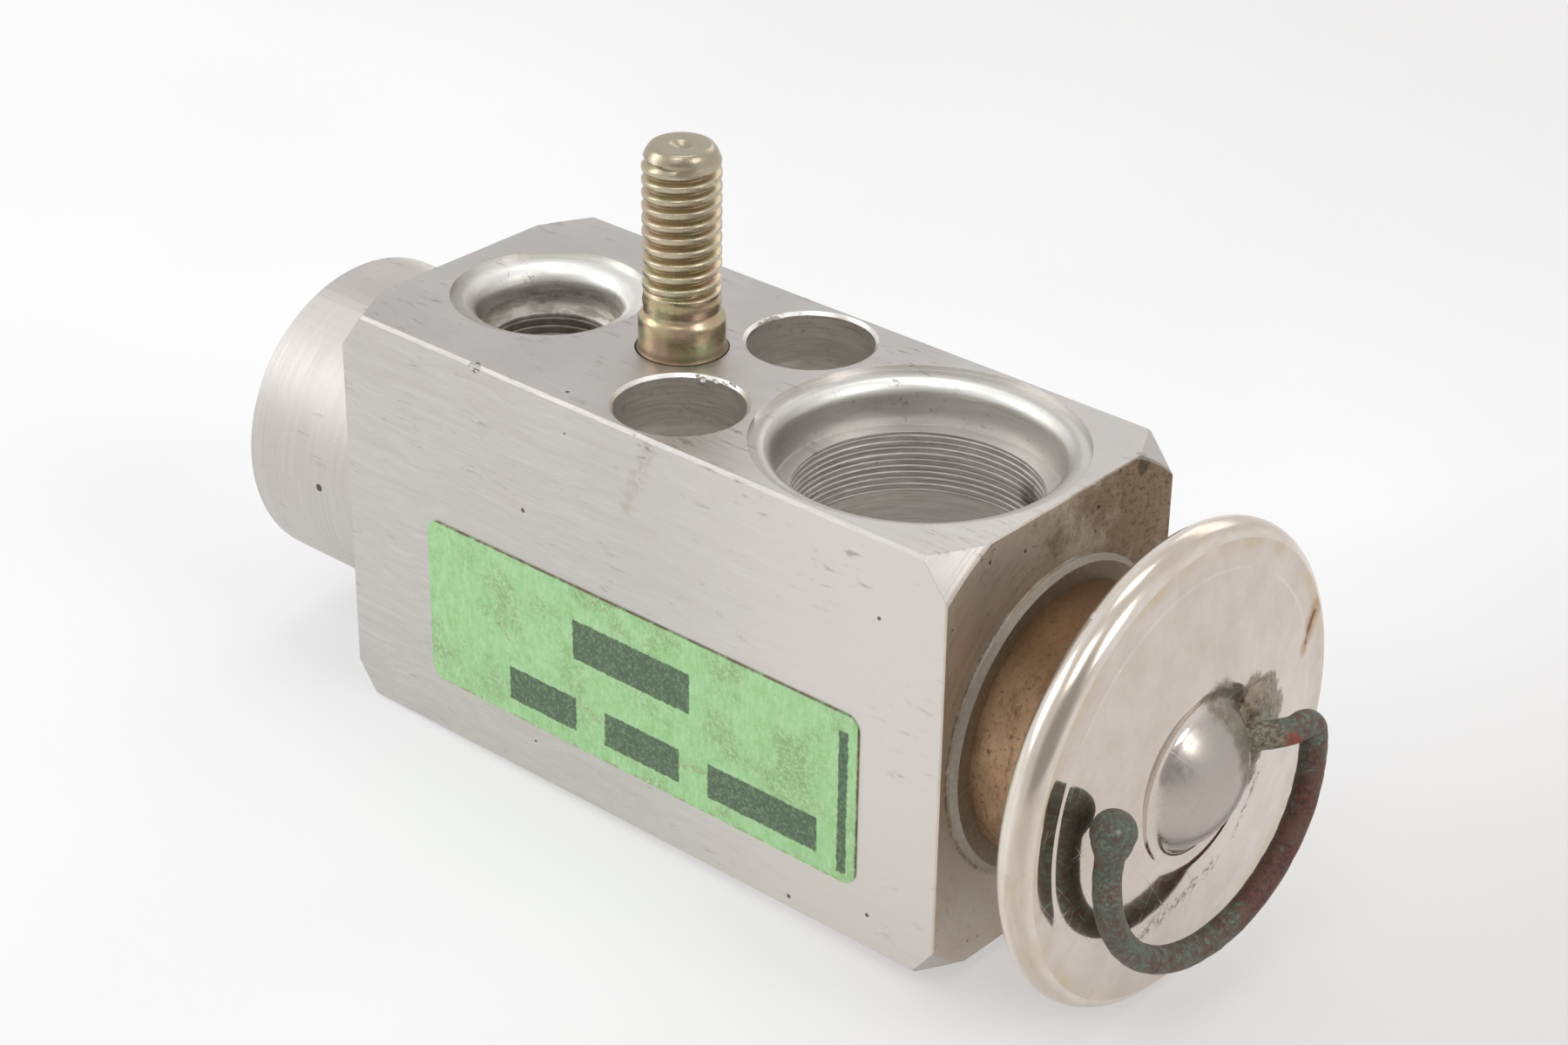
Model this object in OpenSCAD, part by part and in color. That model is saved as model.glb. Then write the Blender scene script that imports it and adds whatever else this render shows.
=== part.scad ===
// Block type thermostatic expansion valve.
// X runs along the valve axis to the power head, Y across the block, Z up to the line side.
// The origin is the centre of the block's evaporator face.

/* [Block] */
// Length of the block along the valve axis
block_len = 58; // [56:0.5:66]
// Width of the block
block_w = 25; // [24.6:0.1:30]
// Height of the block between its two port faces
block_h = 33; // [31:0.5:38]
// Height of the valve axis above the evaporator face
axis_z = 16.3; // [15.5:0.1:17]
// Radius of the turned cone where it meets each end face
end_cone_r = 18.56; // [17:0.1:19.5]
// Chamfer along the four long edges
edge_break = 0.25; // [0.1:0.05:0.4]
// Radius of the turned boss around the adjusting screw
boss_r = 12.4; // [11:0.1:12.4]
// Length of that boss beyond the end face
boss_len = 12.5; // [11.5:0.5:16]
// Chamfer on the end of the boss
boss_chamfer = 0.8; // [0.3:0.1:1.2]
// Outer radius of the raised ring under the power head
collar_ring_r = 11.82; // [11:0.1:12.3]
// Height of that raised ring
collar_ring_h = 0.6; // [0.4:0.1:1]

/* [Suction port] */
// Place of the suction passage along the valve axis
suction_x = 16.3; // [15.8:0.1:16.6]
// Radius of the shallow recess around the mouth
suction_ring_r = 11.95; // [11.6:0.05:12.1]
// Radius of the sealing land that takes the pipe end
suction_land_r = 10.15; // [9.6:0.05:10.4]
// Radius of the rounding between the recess and the land
suction_round_r = 1.1; // [0.6:0.1:1.2]
// Radius of the passage below the ledge
suction_bore_r = 9; // [8.4:0.1:9.2]
// Depth at which the grooves end
suction_groove_end = 8.8; // [7:0.1:10]
// Number of tool grooves below the ledge
suction_grooves = 10; // [4:1:12]

/* [Liquid ports] */
// Place of the inlet on the line side
inlet_x = -19.54; // [-20.2:0.1:-19]
// Place of the outlet on the evaporator side
outlet_x = -10; // [-11:0.1:-9.4]
// Radius of the shallow recess around the mouth
liquid_ring_r = 7.5; // [7:0.1:8]
// Radius of the sealing land that takes the pipe end
liquid_land_r = 5.45; // [5.2:0.05:5.6]
// Radius of the rounding between the recess and the land
liquid_round_r = 1.5; // [0.8:0.1:1.6]
// Radius of the bore below the ledge
liquid_bore_r = 4.6; // [4:0.1:5]
// Radius of the passage that leads to the valve axis
liquid_pass_r = 3.4; // [2.8:0.1:3.8]

/* [Port depths] */
// Depth of the shallow recess around a mouth
port_ring_depth = 0.4; // [0.2:0.05:0.6]
// Depth of the ledge that stops the pipe end
port_ledge_depth = 3.9; // [3.4:0.1:4.5]
// Depth of the counterbore under a liquid port's ledge
liquid_bore_depth = 8; // [6:0.5:9]

/* [Screw holes] */
// Place of the two through holes along the valve axis
screw_x = 0.3; // [0:0.1:0.6]
// Distance between the two through holes
screw_spacing = 14.1; // [13.8:0.1:15]
// Radius of a through hole
screw_hole_r = 2.75; // [2.6:0.05:3]
// Radius of the counterbore for the screw's head
screw_head_r = 4.75; // [4.4:0.05:4.8]
// Depth of that counterbore
screw_head_depth = 10; // [6:0.5:11]

/* [Mounting stud] */
// Place of the stud along the valve axis
stud_x = -6; // [-6.4:0.1:-5.6]
// Outer radius of the stud's thread
stud_r = 2.93; // [2.8:0.01:3]
// Radius of the collar above the face
stud_collar_r = 3.2; // [3.1:0.05:3.4]
// Height of that collar
stud_collar_h = 3; // [2:0.5:4]
// Radius of the neck between collar and thread
stud_neck_r = 2.75; // [2.5:0.05:2.9]
// Height above the face where the thread starts
stud_thread_start = 4.5; // [3.5:0.5:6]
// Height above the face where the thread ends
stud_thread_end = 14.4; // [12:0.2:18]
// Length of the pointed end
stud_tip_h = 1.4; // [0.8:0.1:2]
// Radius of the flat end
stud_tip_r = 2.3; // [1.8:0.1:2.6]
// Depth of the stud in the block
stud_depth = 10.5; // [7:0.5:11]

/* [Power head] */
// Outer radius of the head's rim
rim_r = 17.72; // [16.8:0.1:19]
// Thickness of the rim
rim_w = 3; // [2.6:0.1:3.6]
// Distance from the end face to the middle of the rim
rim_reach = 9.6; // [9.2:0.1:11]
// Width of the rim seen from the front
rim_band = 1.02; // [0.9:0.05:1.4]
// Thickness of the two shells
shell_t = 1.1; // [0.7:0.1:1.2]
// Thickness of the diaphragm
diaphragm_t = 0.2; // [0.1:0.05:0.3]
// Radius of the fine step on the cover
step_r = 14.6; // [14:0.1:15]
// Height of that step
step_h = 0.12; // [0.05:0.01:0.2]
// Rise of the cover from the step to the groove
cover_rise = 1.15; // [0.8:0.05:1.5]
// Outer radius of the groove around the dome
dome_groove_r = 5.8; // [5.5:0.1:6.2]
// Depth of that groove
dome_groove_depth = 0.35; // [0.2:0.05:0.5]
// Radius of the dome at its foot
dome_r = 5.3; // [4.8:0.1:5.4]
// Height of the dome above its foot
dome_h = 2.6; // [2:0.1:3]
// Radius of the brass hub
hub_r = 10.1; // [9.8:0.1:10.6]
// Radius of the hub's threaded end in the block
hub_spigot_r = 7.5; // [7:0.1:7.6]
// Length of that threaded end
hub_spigot_len = 4; // [3:0.1:4]
// Radius of the hub's bore
hub_bore_r = 4.6; // [4.4:0.1:5]

/* [Charge tube] */
// Radius of the charge tube
tube_r = 1; // [0.9:0.01:1.1]
// Radius of the tube's loop
loop_r = 10.7; // [10:0.1:11]
// Place of the loop's middle across the head
loop_y = -1.2; // [-1.8:0.1:0]
// Height of the loop's middle above the valve axis
loop_z = -1.4; // [-2:0.1:-0.8]
// Gap between the dome's foot and the loop's middle
loop_stand = 0.98; // [0.8:0.02:1.4]
// Radius of the bend between root and loop
tube_bend_r = 1.45; // [1.2:0.05:1.8]
// Radius of the closed end's bead
bead_r = 1.6; // [1.4:0.05:1.8]
// Angle that the loop runs round
loop_angle = 197; // [160:1:205]
// Lean of the loop away from the cover on the root's side
loop_lean = 4.6; // [2:0.1:5]

/* [Valve train] */
// Opening travel of the valve
travel = 0.8; // [0.5:0.05:0.8]
// Radius of the ball
ball_r = 2.5; // [2.3:0.05:2.6]
// Radius of the orifice
orifice_r = 1.6; // [1.4:0.05:1.7]
// Place of the seat along the valve axis
seat_x = -13.6; // [-14:0.1:-13.4]
// Radius of the sensing rod
rod_r = 2.2; // [2:0.05:2.4]
// Radius of the push pin
pin_r = 0.9; // [0.7:0.05:1.1]
// Radius of the spring's coils at the wire's middle
spring_r = 4; // [3.8:0.05:4.1]
// Radius of the spring's wire
wire_r = 0.55; // [0.45:0.05:0.65]
// Number of turns of the spring
spring_turns = 6; // [4:1:7]
// Radius of the spring chamber
chamber_r = 6; // [5.9:0.05:6.1]
// Radius of the adjusting screw's thread
screw_r = 6.45; // [6.35:0.05:6.6]
// Pitch of the adjusting screw's thread
screw_pitch = 1; // [0.75:0.05:1]
// Width across the flats of the screw's socket
socket_af = 5; // [4:0.5:6]

/* [Label] */
// Length of the label
label_len = 42.3; // [36:0.1:46]
// Height of the label
label_h = 13.8; // [12:0.1:16]
// Place of the label's middle along the valve axis
label_x = 0.75; // [-1:0.05:2]
// Height of the label's middle above the evaporator face
label_z = 11.6; // [10.5:0.1:14]
// Thickness of the label
label_t = 0.1; // [0.05:0.01:0.15]
// Radius of the label's corners
label_corner_r = 1.2; // [1:0.1:3]

/* [Hidden] */
$fn = 96;

// Cuts reach this far past a face
over = 1;
// Clearance of a sliding fit
slide_gap = 0.05;
// Clearance of pieces that only pass each other
free_gap = 0.5;

// Tool grooves in the ports
groove_depth = 0.07;
groove_share = 0.4;
groove_reach = 0.3;
liquid_grooves = 6;

end_x = block_len / 2;
boss_end_x = -end_x - boss_len;
ring_face_x = end_x + collar_ring_h;
ring_chamfer = 0.42;

// Foot of the stud's collar and the countersink under it
stud_foot_flare = 0.25;
stud_sink_gap = 0.05;

// Screw end of the valve axis, from the open end inwards
screw_recess = 1.1;
screw_head_len = 3.2;
screw_head_x = boss_end_x + screw_recess;
screw_shoulder_x = screw_head_x + screw_head_len;
screw_stop_gap = 0.2;
screw_stop_x = screw_shoulder_x + screw_pitch + screw_stop_gap;
screw_nose_len = 3.2;
screw_nose_x = screw_shoulder_x + screw_nose_len;
screw_nose_r = chamber_r - slide_gap;
seat_plate_t = 1;
seat_pilot_h = 1.5;
seat_plate_x = screw_nose_x + seat_plate_t;
seal_groove_x = screw_shoulder_x + 1;
seal_groove_w = 1.3;
screw_seal_wire_r = 0.6;
socket_depth = 2.6;

// Ball on its seat, a hair off the cone
ball_gap = 0.02;
ball_x = seat_x - ball_r * sqrt(2) + orifice_r - ball_gap;
seat_depth = 0.4;
chamber_end_x = seat_x - seat_depth;

// Throat between the seat and the rod's guide
throat_r = 3.2;
orifice_len = 1.6;
throat_start_x = seat_x + orifice_len;
guide_start_x = -4.5;

// Ball carrier, measured from the ball
carrier_r = 3.6;
carrier_lip = 1;
carrier_flange_r = 4.8;
carrier_flange_t = 1.2;
carrier_pilot_h = 2;
carrier_bed = 1.8;
carrier_flange_x = ball_x - ball_r - carrier_bed;
carrier_back_x = carrier_flange_x - carrier_flange_t;
damping_t = 0.4;
spring_start_x = carrier_back_x - damping_t;
pilot_gap = 0.35;
spring_pilot_r = spring_r - wire_r - pilot_gap;
spring_len = spring_start_x - seat_plate_x;

// Share of the wire's radius that is drawn, so that touching turns stay apart
wire_share = 0.96;

// Rod, its seal and its guide
rod_end_x = -3;
seal_bore_r = 4;
seal_bore_len = 3.4;
seal_wire_r = 0.84;
seal_fit = 0.02;
clip_t = 0.6;
clip_gap = 0.1;
clip_bore_gap = 0.3;
suction_wall_x = suction_x - suction_bore_r;
seal_bore_x = suction_wall_x - seal_bore_len;
pin_socket = 2;

// Power head stations along the valve axis
rim_mid_x = end_x + rim_reach;
rim_front_x = rim_mid_x + rim_w / 2;
rim_back_x = rim_mid_x - rim_w / 2;
shell_r = rim_r - rim_band;
rim_proud = 0.05;
cover_front_x = rim_front_x - rim_proud;
cover_back_x = cover_front_x - shell_t;
flange_front_x = cover_back_x - diaphragm_t;
flange_back_x = flange_front_x - shell_t;
cover_flange_w = 2.2;
base_floor_r = 12.2;
base_wall_run = 1.5;
base_bend = 0.5;
base_hole_r = hub_bore_r + 1;
dome_foot_x = cover_front_x + step_h + cover_rise;
dome_top_x = dome_foot_x + dome_h;
dome_sphere_r = (dome_r * dome_r + dome_h * dome_h) / (2 * dome_h);
dome_centre_x = dome_top_x - dome_sphere_r;
plate_gap = 0.02;
plate_front_x = flange_front_x - plate_gap;
plate_t = 1.1;
plate_back_x = plate_front_x - plate_t;
floor_gap = 0.33;
base_floor_x = plate_back_x - travel - floor_gap;
base_back_x = base_floor_x - shell_t;
plate_r = 11;
plate_boss_gap = 0.6;
plate_boss_r = hub_bore_r - plate_boss_gap;
plate_boss_len = 4.6;
plate_boss_x = plate_back_x - plate_boss_len;
rod_socket = 3;

// Groove and ring that seal the hub
hub_seal_r = 8.9;
hub_seal_wire_r = 0.7;
hub_seal_gap = 0.04;

// Charge tube in the plane of its loop: local y and z from the loop's middle
loop_x = dome_foot_x + tube_r + loop_stand;
loop_start_angle = 10.5;
bend_turn = 86.5;
bend_end_angle = loop_start_angle + bend_turn;
bend_centre = (loop_r - tube_bend_r) * [cos(loop_start_angle), sin(loop_start_angle)];
bend_end = bend_centre + tube_bend_r * [cos(bend_end_angle), sin(bend_end_angle)];
root_heading = [sin(bend_end_angle), -cos(bend_end_angle)];
root_y = 4;
root_run = (bend_end[0] + loop_y - root_y) / root_heading[0];
root_depth = 2.1;
root_curve = 0.4;
bead_taper = 1.4;
bead_start = 26;
bead_rings = 6;
bend_rings = 6;
loop_rings = 24;
tube_sides = 12;
tube_fit = 0.01;

// Solder beside the dome: a heap round the root and a thin smear above it
solder_h = 1.5;
solder_spread = 2.2;
solder_y = 5.9;
smear_h = 0.6;
smear_spread = 2.6;
smear_y = 5.6;
smear_rise = 3;

// Turns local z to the valve axis, with z = 0 at x = 0 of the block
module on_axis() {
    translate([0, 0, axis_z]) rotate([0, 90, 0]) children();
}

// Cylinder along the valve axis between two places
module axis_rod(x0, x1, r) {
    on_axis() translate([0, 0, x0]) cylinder(r = r, h = x1 - x0);
}

// Cone along the valve axis between two places
module axis_cone(x0, r0, x1, r1) {
    on_axis() translate([0, 0, x0]) cylinder(r1 = r0, r2 = r1, h = x1 - x0);
}

// Solid turned about the valve axis, from points of radius and x
module turned(points) {
    on_axis() rotate_extrude() polygon(points);
}

// Ring of round section about the valve axis
module axis_ring(x, r, section_r) {
    on_axis() translate([0, 0, x]) rotate_extrude() translate([r, 0]) circle(r = section_r, $fn = 32);
}

// Cut for one port, with its mouth at z = 0 and its depth along -z
module port_cut(ring_r, land_r, round_r, bore_r, bore_depth) {
    mouth_r = land_r + round_r;
    translate([0, 0, -port_ring_depth]) cylinder(r = ring_r, h = port_ring_depth + over);
    difference() {
        translate([0, 0, -port_ring_depth - round_r]) cylinder(r = mouth_r, h = round_r + 0.01);
        translate([0, 0, -port_ring_depth - round_r])
            rotate_extrude() translate([mouth_r, 0]) circle(r = round_r, $fn = 48);
    }
    translate([0, 0, -port_ledge_depth]) cylinder(r = land_r, h = port_ledge_depth - port_ring_depth);
    translate([0, 0, -bore_depth]) cylinder(r = bore_r, h = bore_depth - port_ring_depth);
}

// Fine V grooves below a ledge
module groove_cuts(bore_r, first_depth, last_depth, count) {
    pitch = (last_depth - first_depth) / count;
    half_w = pitch * groove_share / 2;
    for (i = [0:count - 1])
        translate([0, 0, -first_depth - (i + 0.5) * pitch])
            rotate_extrude()
                polygon([
                    [bore_r - groove_reach, -half_w], [bore_r, -half_w], [bore_r + groove_depth, 0],
                    [bore_r, half_w], [bore_r - groove_reach, half_w]
                ]);
}

module suction_port_cut(depth) {
    port_cut(suction_ring_r, suction_land_r, suction_round_r, suction_bore_r, depth);
    groove_cuts(suction_bore_r, port_ledge_depth, suction_groove_end, suction_grooves);
}

module liquid_port_cut(depth) {
    port_cut(liquid_ring_r, liquid_land_r, liquid_round_r, liquid_bore_r, liquid_bore_depth);
    groove_cuts(liquid_bore_r, port_ledge_depth, liquid_bore_depth, liquid_grooves);
    translate([0, 0, -depth]) cylinder(r = liquid_pass_r, h = depth - port_ring_depth);
}

// Block between its faces, with broken long edges and turned ends
module block_blank() {
    half_w = block_w / 2;
    intersection() {
        rotate([90, 0, 90])
            translate([0, 0, -end_x])
                linear_extrude(block_len)
                    polygon([
                        [-half_w + edge_break, 0], [half_w - edge_break, 0],
                        [half_w, edge_break], [half_w, block_h - edge_break],
                        [half_w - edge_break, block_h], [-half_w + edge_break, block_h],
                        [-half_w, block_h - edge_break], [-half_w, edge_break]
                    ]);
        turned([
            [0, -end_x], [end_cone_r, -end_x], [end_cone_r + end_x, 0], [end_cone_r, end_x], [0, end_x]
        ]);
    }
    turned([
        [0, boss_end_x], [boss_r - boss_chamfer, boss_end_x], [boss_r, boss_end_x + boss_chamfer],
        [boss_r, -end_x + over], [0, -end_x + over]
    ]);
    turned([
        [0, end_x - over], [collar_ring_r, end_x - over], [collar_ring_r, ring_face_x - ring_chamfer],
        [collar_ring_r - ring_chamfer, ring_face_x], [0, ring_face_x]
    ]);
}

// Bores along the valve axis
module axis_cuts() {
    axis_rod(boss_end_x - over, screw_stop_x, screw_r + slide_gap);
    axis_rod(screw_stop_x - 0.01, chamber_end_x, chamber_r);
    axis_cone(chamber_end_x, orifice_r + seat_depth, seat_x, orifice_r);
    axis_rod(seat_x - 0.01, throat_start_x + 0.01, orifice_r);
    axis_rod(throat_start_x, guide_start_x, throat_r);
    axis_rod(guide_start_x - 0.01, suction_wall_x, rod_r + slide_gap);
    axis_rod(seal_bore_x, suction_x, seal_bore_r);
    axis_rod(suction_x, ring_face_x + over, hub_spigot_r);
}

// Groove for the hub's sealing ring
module hub_seal_cut() {
    inner = hub_seal_r - hub_seal_wire_r - hub_seal_gap;
    outer = hub_seal_r + hub_seal_wire_r + hub_seal_gap;
    depth = 2 * hub_seal_wire_r + hub_seal_gap;
    difference() {
        axis_rod(ring_face_x - depth, ring_face_x + over, outer);
        axis_rod(ring_face_x - depth - over, ring_face_x + 2 * over, inner);
    }
}

// Through hole with its counterbore
module screw_cut() {
    head_z = block_h - screw_head_depth;
    head_chamfer = 0.25;
    translate([0, 0, -over]) cylinder(r = screw_hole_r, h = block_h + 2 * over);
    translate([0, 0, head_z]) cylinder(r = screw_head_r, h = screw_head_depth + over);
    translate([0, 0, block_h - head_chamfer])
        cylinder(r1 = screw_head_r, r2 = screw_head_r + 2 * head_chamfer, h = 2 * head_chamfer);
}

module valve_block() {
    color([0.72, 0.71, 0.69])
        difference() {
            block_blank();
            axis_cuts();
            hub_seal_cut();
            translate([suction_x, 0, block_h]) suction_port_cut(block_h / 2 + over);
            translate([suction_x, 0, 0]) rotate([180, 0, 0]) suction_port_cut(block_h / 2 + over);
            translate([inlet_x, 0, block_h]) liquid_port_cut(block_h - axis_z - chamber_r + over);
            translate([outlet_x, 0, 0]) rotate([180, 0, 0]) liquid_port_cut(axis_z);
            for (side = [-1, 1]) translate([screw_x, side * screw_spacing / 2, 0]) screw_cut();
            stud_cut();
        }
}

// Hole for the stud, with a countersink that the stud's foot spans
module stud_cut() {
    sink_r = stud_collar_r + stud_foot_flare + stud_sink_gap;
    translate([stud_x, 0, block_h - stud_depth]) cylinder(r = stud_r, h = stud_depth + over);
    translate([stud_x, 0, block_h - sink_r + stud_r])
        cylinder(r1 = stud_r, r2 = sink_r + over, h = sink_r - stud_r + over);
}

module label() {
    front_y = -block_w / 2;
    color([0.66, 0.76, 0.48])
        translate([label_x, front_y, label_z]) rotate([90, 0, 0]) linear_extrude(label_t) {
            square([label_len - 2 * label_corner_r, label_h], center = true);
            square([label_len, label_h - 2 * label_corner_r], center = true);
            for (sx = [-1, 1], sz = [-1, 1])
                translate([sx * (label_len / 2 - label_corner_r), sz * (label_h / 2 - label_corner_r)])
                    circle(r = label_corner_r);
        }
}

module mounting_stud() {
    foot_flare = stud_foot_flare;
    dimple_r = 0.8;
    dimple_depth = 0.4;
    color([0.78, 0.66, 0.36])
        translate([stud_x, 0, block_h])
            difference() {
                rotate_extrude()
                    polygon([
                        [0, -stud_depth], [stud_r, -stud_depth], [stud_r, 0],
                        [stud_collar_r + foot_flare, 0], [stud_collar_r, foot_flare],
                        [stud_collar_r, stud_collar_h - foot_flare], [stud_neck_r, stud_collar_h],
                        [stud_neck_r, stud_thread_start], [stud_r, stud_thread_start + foot_flare],
                        [stud_r, stud_thread_end], [stud_tip_r, stud_thread_end + stud_tip_h],
                        [0, stud_thread_end + stud_tip_h]
                    ]);
                translate([0, 0, stud_thread_end + stud_tip_h - dimple_depth])
                    cylinder(r1 = dimple_r / 4, r2 = dimple_r, h = dimple_depth + 0.01);
            }
}

// Plane of the loop: local x is y, local y is z, local z is x, all from the loop's middle
module on_loop_plane() {
    translate([loop_x, loop_y, axis_z + loop_z]) rotate([90, 0, 90]) rotate([0, -loop_lean, 0]) children();
}

// Depth of the root below the loop's plane, from 0 at the bend to root_depth in the dome
function root_drop(share) =
    root_depth / (1 - root_curve / 2)
    * (share < root_curve ? share * share / (2 * root_curve) : share - root_curve / 2);

function root_place(share) = [
    bend_end[0] - share * root_run * root_heading[0],
    bend_end[1] - share * root_run * root_heading[1],
    -root_drop(share)
];

// Direction of the root, from the dome to the bend
function root_dir(share) =
    let (
        fall = root_depth / (1 - root_curve / 2) * min(share / root_curve, 1),
        d = [root_run * root_heading[0], root_run * root_heading[1], fall]
    )
    d / norm(d);

// Straight length of the root that stands in the side of the dome
module tube_root(r) {
    d = root_dir(1);
    on_loop_plane() translate(root_place(1)) rotate([0, acos(d[2]), atan2(d[1], d[0])])
        cylinder(r = r, h = norm(root_place(1) - root_place(root_curve)));
}

// Stations of the tube: place, direction and radius
function tube_stations() =
    let (
        root = [for (share = [1, 0.7, root_curve, root_curve / 2]) [root_place(share), root_dir(share), tube_r]],
        bend = [
            for (i = [0:bend_rings])
                let (a = bend_end_angle - i * bend_turn / bend_rings)
                [
                    [bend_centre[0] + tube_bend_r * cos(a), bend_centre[1] + tube_bend_r * sin(a), 0],
                    [sin(a), -cos(a), 0], tube_r
                ]
        ],
        loop = [
            for (i = [1:loop_rings])
                let (a = loop_start_angle - i * loop_angle / loop_rings)
                [[loop_r * cos(a), loop_r * sin(a), 0], [sin(a), -cos(a), 0], tube_r]
        ],
        end = loop[loop_rings - 1],
        bead = [
            for (i = [0:bead_rings])
                let (a = -bead_start + i * (90 + bead_start - 8) / bead_rings)
                [end[0] + end[1] * (bead_taper + bead_r * (sin(a) + sin(bead_start))), end[1], bead_r * cos(a)]
        ]
    )
    concat(root, bend, loop, bead);

// Ring of points around one station
function tube_ring(station) =
    let (
        across = cross(station[1], [0, 0, 1]) / norm(cross(station[1], [0, 0, 1])),
        up = cross(across, station[1])
    )
    [
        for (j = [0:tube_sides - 1])
            let (a = 360 * j / tube_sides)
            station[0] + station[2] * (cos(a) * across + sin(a) * up)
    ];

// Skin between rings of points, closed at both ends
module swept(rings) {
    count = len(rings);
    sides = len(rings[0]);
    points = [for (ring = rings, point = ring) point];
    walls = [
        for (i = [0:count - 2], j = [0:sides - 1])
            let (k = (j + 1) % sides)
            [i * sides + j, i * sides + k, (i + 1) * sides + k, (i + 1) * sides + j]
    ];
    first_cap = [for (j = [0:sides - 1]) sides - 1 - j];
    last_cap = [for (j = [0:sides - 1]) (count - 1) * sides + j];
    polyhedron(points, concat(walls, [first_cap, last_cap]));
}

// Capillary tube from the dome, round the loop to its closed bead
module charge_tube() {
    color([0.28, 0.38, 0.32])
        on_loop_plane() swept([for (station = tube_stations()) tube_ring(station)]);
}

// Low round heap of solder on the cover, beside the dome
module solder_heap(y, z, spread, height) {
    ball = (spread * spread + height * height) / (2 * height);
    translate([dome_foot_x + height - ball, y, axis_z + z]) sphere(r = ball);
}

// Solder around the tube's root, smeared up beside the dome
module tube_solder() {
    root_height = loop_z + root_place(1)[1];
    color([0.55, 0.51, 0.45])
        difference() {
            intersection() {
                union() {
                    solder_heap(solder_y, root_height, solder_spread, solder_h);
                    solder_heap(smear_y, root_height + smear_rise, smear_spread, smear_h);
                }
                axis_rod(cover_front_x, dome_foot_x + 2 * solder_h, shell_r);
            }
            tube_root(tube_r + tube_fit);
            cover_blank(tube_fit);
        }
}

// Solid under the cover's outer face, grown outwards by a margin
module cover_blank(margin) {
    on_axis() {
        rotate_extrude()
            polygon([
                [0, cover_back_x - over], [shell_r, cover_back_x - over], [shell_r, cover_front_x + margin],
                [step_r, cover_front_x + margin], [step_r - step_h, cover_front_x + step_h + margin],
                [dome_groove_r + 0.2, dome_foot_x + margin],
                [dome_groove_r - 0.1, dome_foot_x - dome_groove_depth + margin],
                [dome_r, dome_foot_x - dome_groove_depth + margin], [0, dome_foot_x - dome_groove_depth + margin]
            ]);
        intersection() {
            translate([0, 0, dome_centre_x]) sphere(r = dome_sphere_r + margin, $fn = 96);
            translate([0, 0, dome_foot_x - dome_groove_depth - 0.01])
                cylinder(r = dome_r + margin, h = dome_h + over);
        }
    }
}

module head_cover() {
    inner_r = shell_r - cover_flange_w;
    hollow_x = dome_foot_x - dome_groove_depth - shell_t;
    color([0.8, 0.79, 0.77])
        difference() {
            cover_blank(0);
            axis_rod(cover_back_x - 2 * over, cover_back_x, shell_r + over);
            turned([
                [0, cover_back_x - over], [inner_r, cover_back_x - over], [inner_r, cover_back_x],
                [dome_r, hollow_x], [0, hollow_x]
            ]);
            intersection() {
                on_axis() translate([0, 0, dome_centre_x]) sphere(r = dome_sphere_r - shell_t, $fn = 96);
                axis_rod(hollow_x - 0.01, dome_top_x, dome_r - shell_t);
            }
            tube_root(tube_r + tube_fit);
        }
}

module head_base() {
    color([0.74, 0.73, 0.71])
        turned([
            [base_hole_r, base_back_x], [base_floor_r + base_bend, base_back_x],
            [base_floor_r + base_bend + base_wall_run, flange_back_x], [shell_r, flange_back_x],
            [shell_r, flange_front_x], [base_floor_r + base_wall_run, flange_front_x],
            [base_floor_r, base_floor_x], [base_hole_r, base_floor_x]
        ]);
}

// Weld that joins both shells and the diaphragm around the rim
module rim_weld() {
    round_r = rim_w / 2;
    color([0.78, 0.76, 0.7])
        difference() {
            intersection() {
                union() {
                    axis_ring(rim_mid_x, rim_r - round_r, round_r);
                    axis_rod(rim_back_x, rim_front_x, rim_r - round_r);
                }
                axis_rod(rim_back_x - over, rim_front_x + over, rim_r);
            }
            axis_rod(rim_back_x - over, rim_front_x + over, shell_r);
        }
}

module diaphragm() {
    wave_r = plate_r + 1.4;
    wave = 0.5;
    back = flange_front_x;
    front = cover_back_x;
    color([0.7, 0.7, 0.68])
        turned([
            [0, back], [wave_r - 1, back], [wave_r - 0.5, back - wave], [wave_r + 0.5, back - wave],
            [wave_r + 1, back], [shell_r, back], [shell_r, front], [wave_r + 0.9, front],
            [wave_r + 0.4, front - wave], [wave_r - 0.4, front - wave], [wave_r - 0.9, front], [0, front]
        ]);
}

module head_hub() {
    neck_chamfer = 0.4;
    color([0.42, 0.33, 0.22])
        turned([
            [hub_bore_r, ring_face_x - hub_spigot_len],
            [hub_spigot_r - neck_chamfer, ring_face_x - hub_spigot_len],
            [hub_spigot_r, ring_face_x - hub_spigot_len + neck_chamfer],
            [hub_spigot_r, ring_face_x], [hub_r, ring_face_x],
            [hub_r, base_back_x], [base_hole_r, base_back_x],
            [base_hole_r, base_floor_x], [hub_bore_r, base_floor_x]
        ]);
}

module hub_seal() {
    color([0.1, 0.1, 0.1]) axis_ring(ring_face_x - hub_seal_wire_r - hub_seal_gap / 2, hub_seal_r, hub_seal_wire_r);
}

module pusher_plate() {
    color([0.66, 0.66, 0.64])
        difference() {
            union() {
                axis_rod(plate_back_x, plate_front_x, plate_r);
                axis_rod(plate_boss_x, plate_back_x + 0.01, plate_boss_r);
            }
            axis_rod(plate_boss_x - over, plate_boss_x + rod_socket, rod_r);
        }
}

module sensing_rod() {
    color([0.6, 0.6, 0.6])
        difference() {
            axis_rod(rod_end_x, plate_boss_x + rod_socket, rod_r);
            axis_rod(rod_end_x - over, rod_end_x + pin_socket, pin_r);
        }
}

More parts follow.
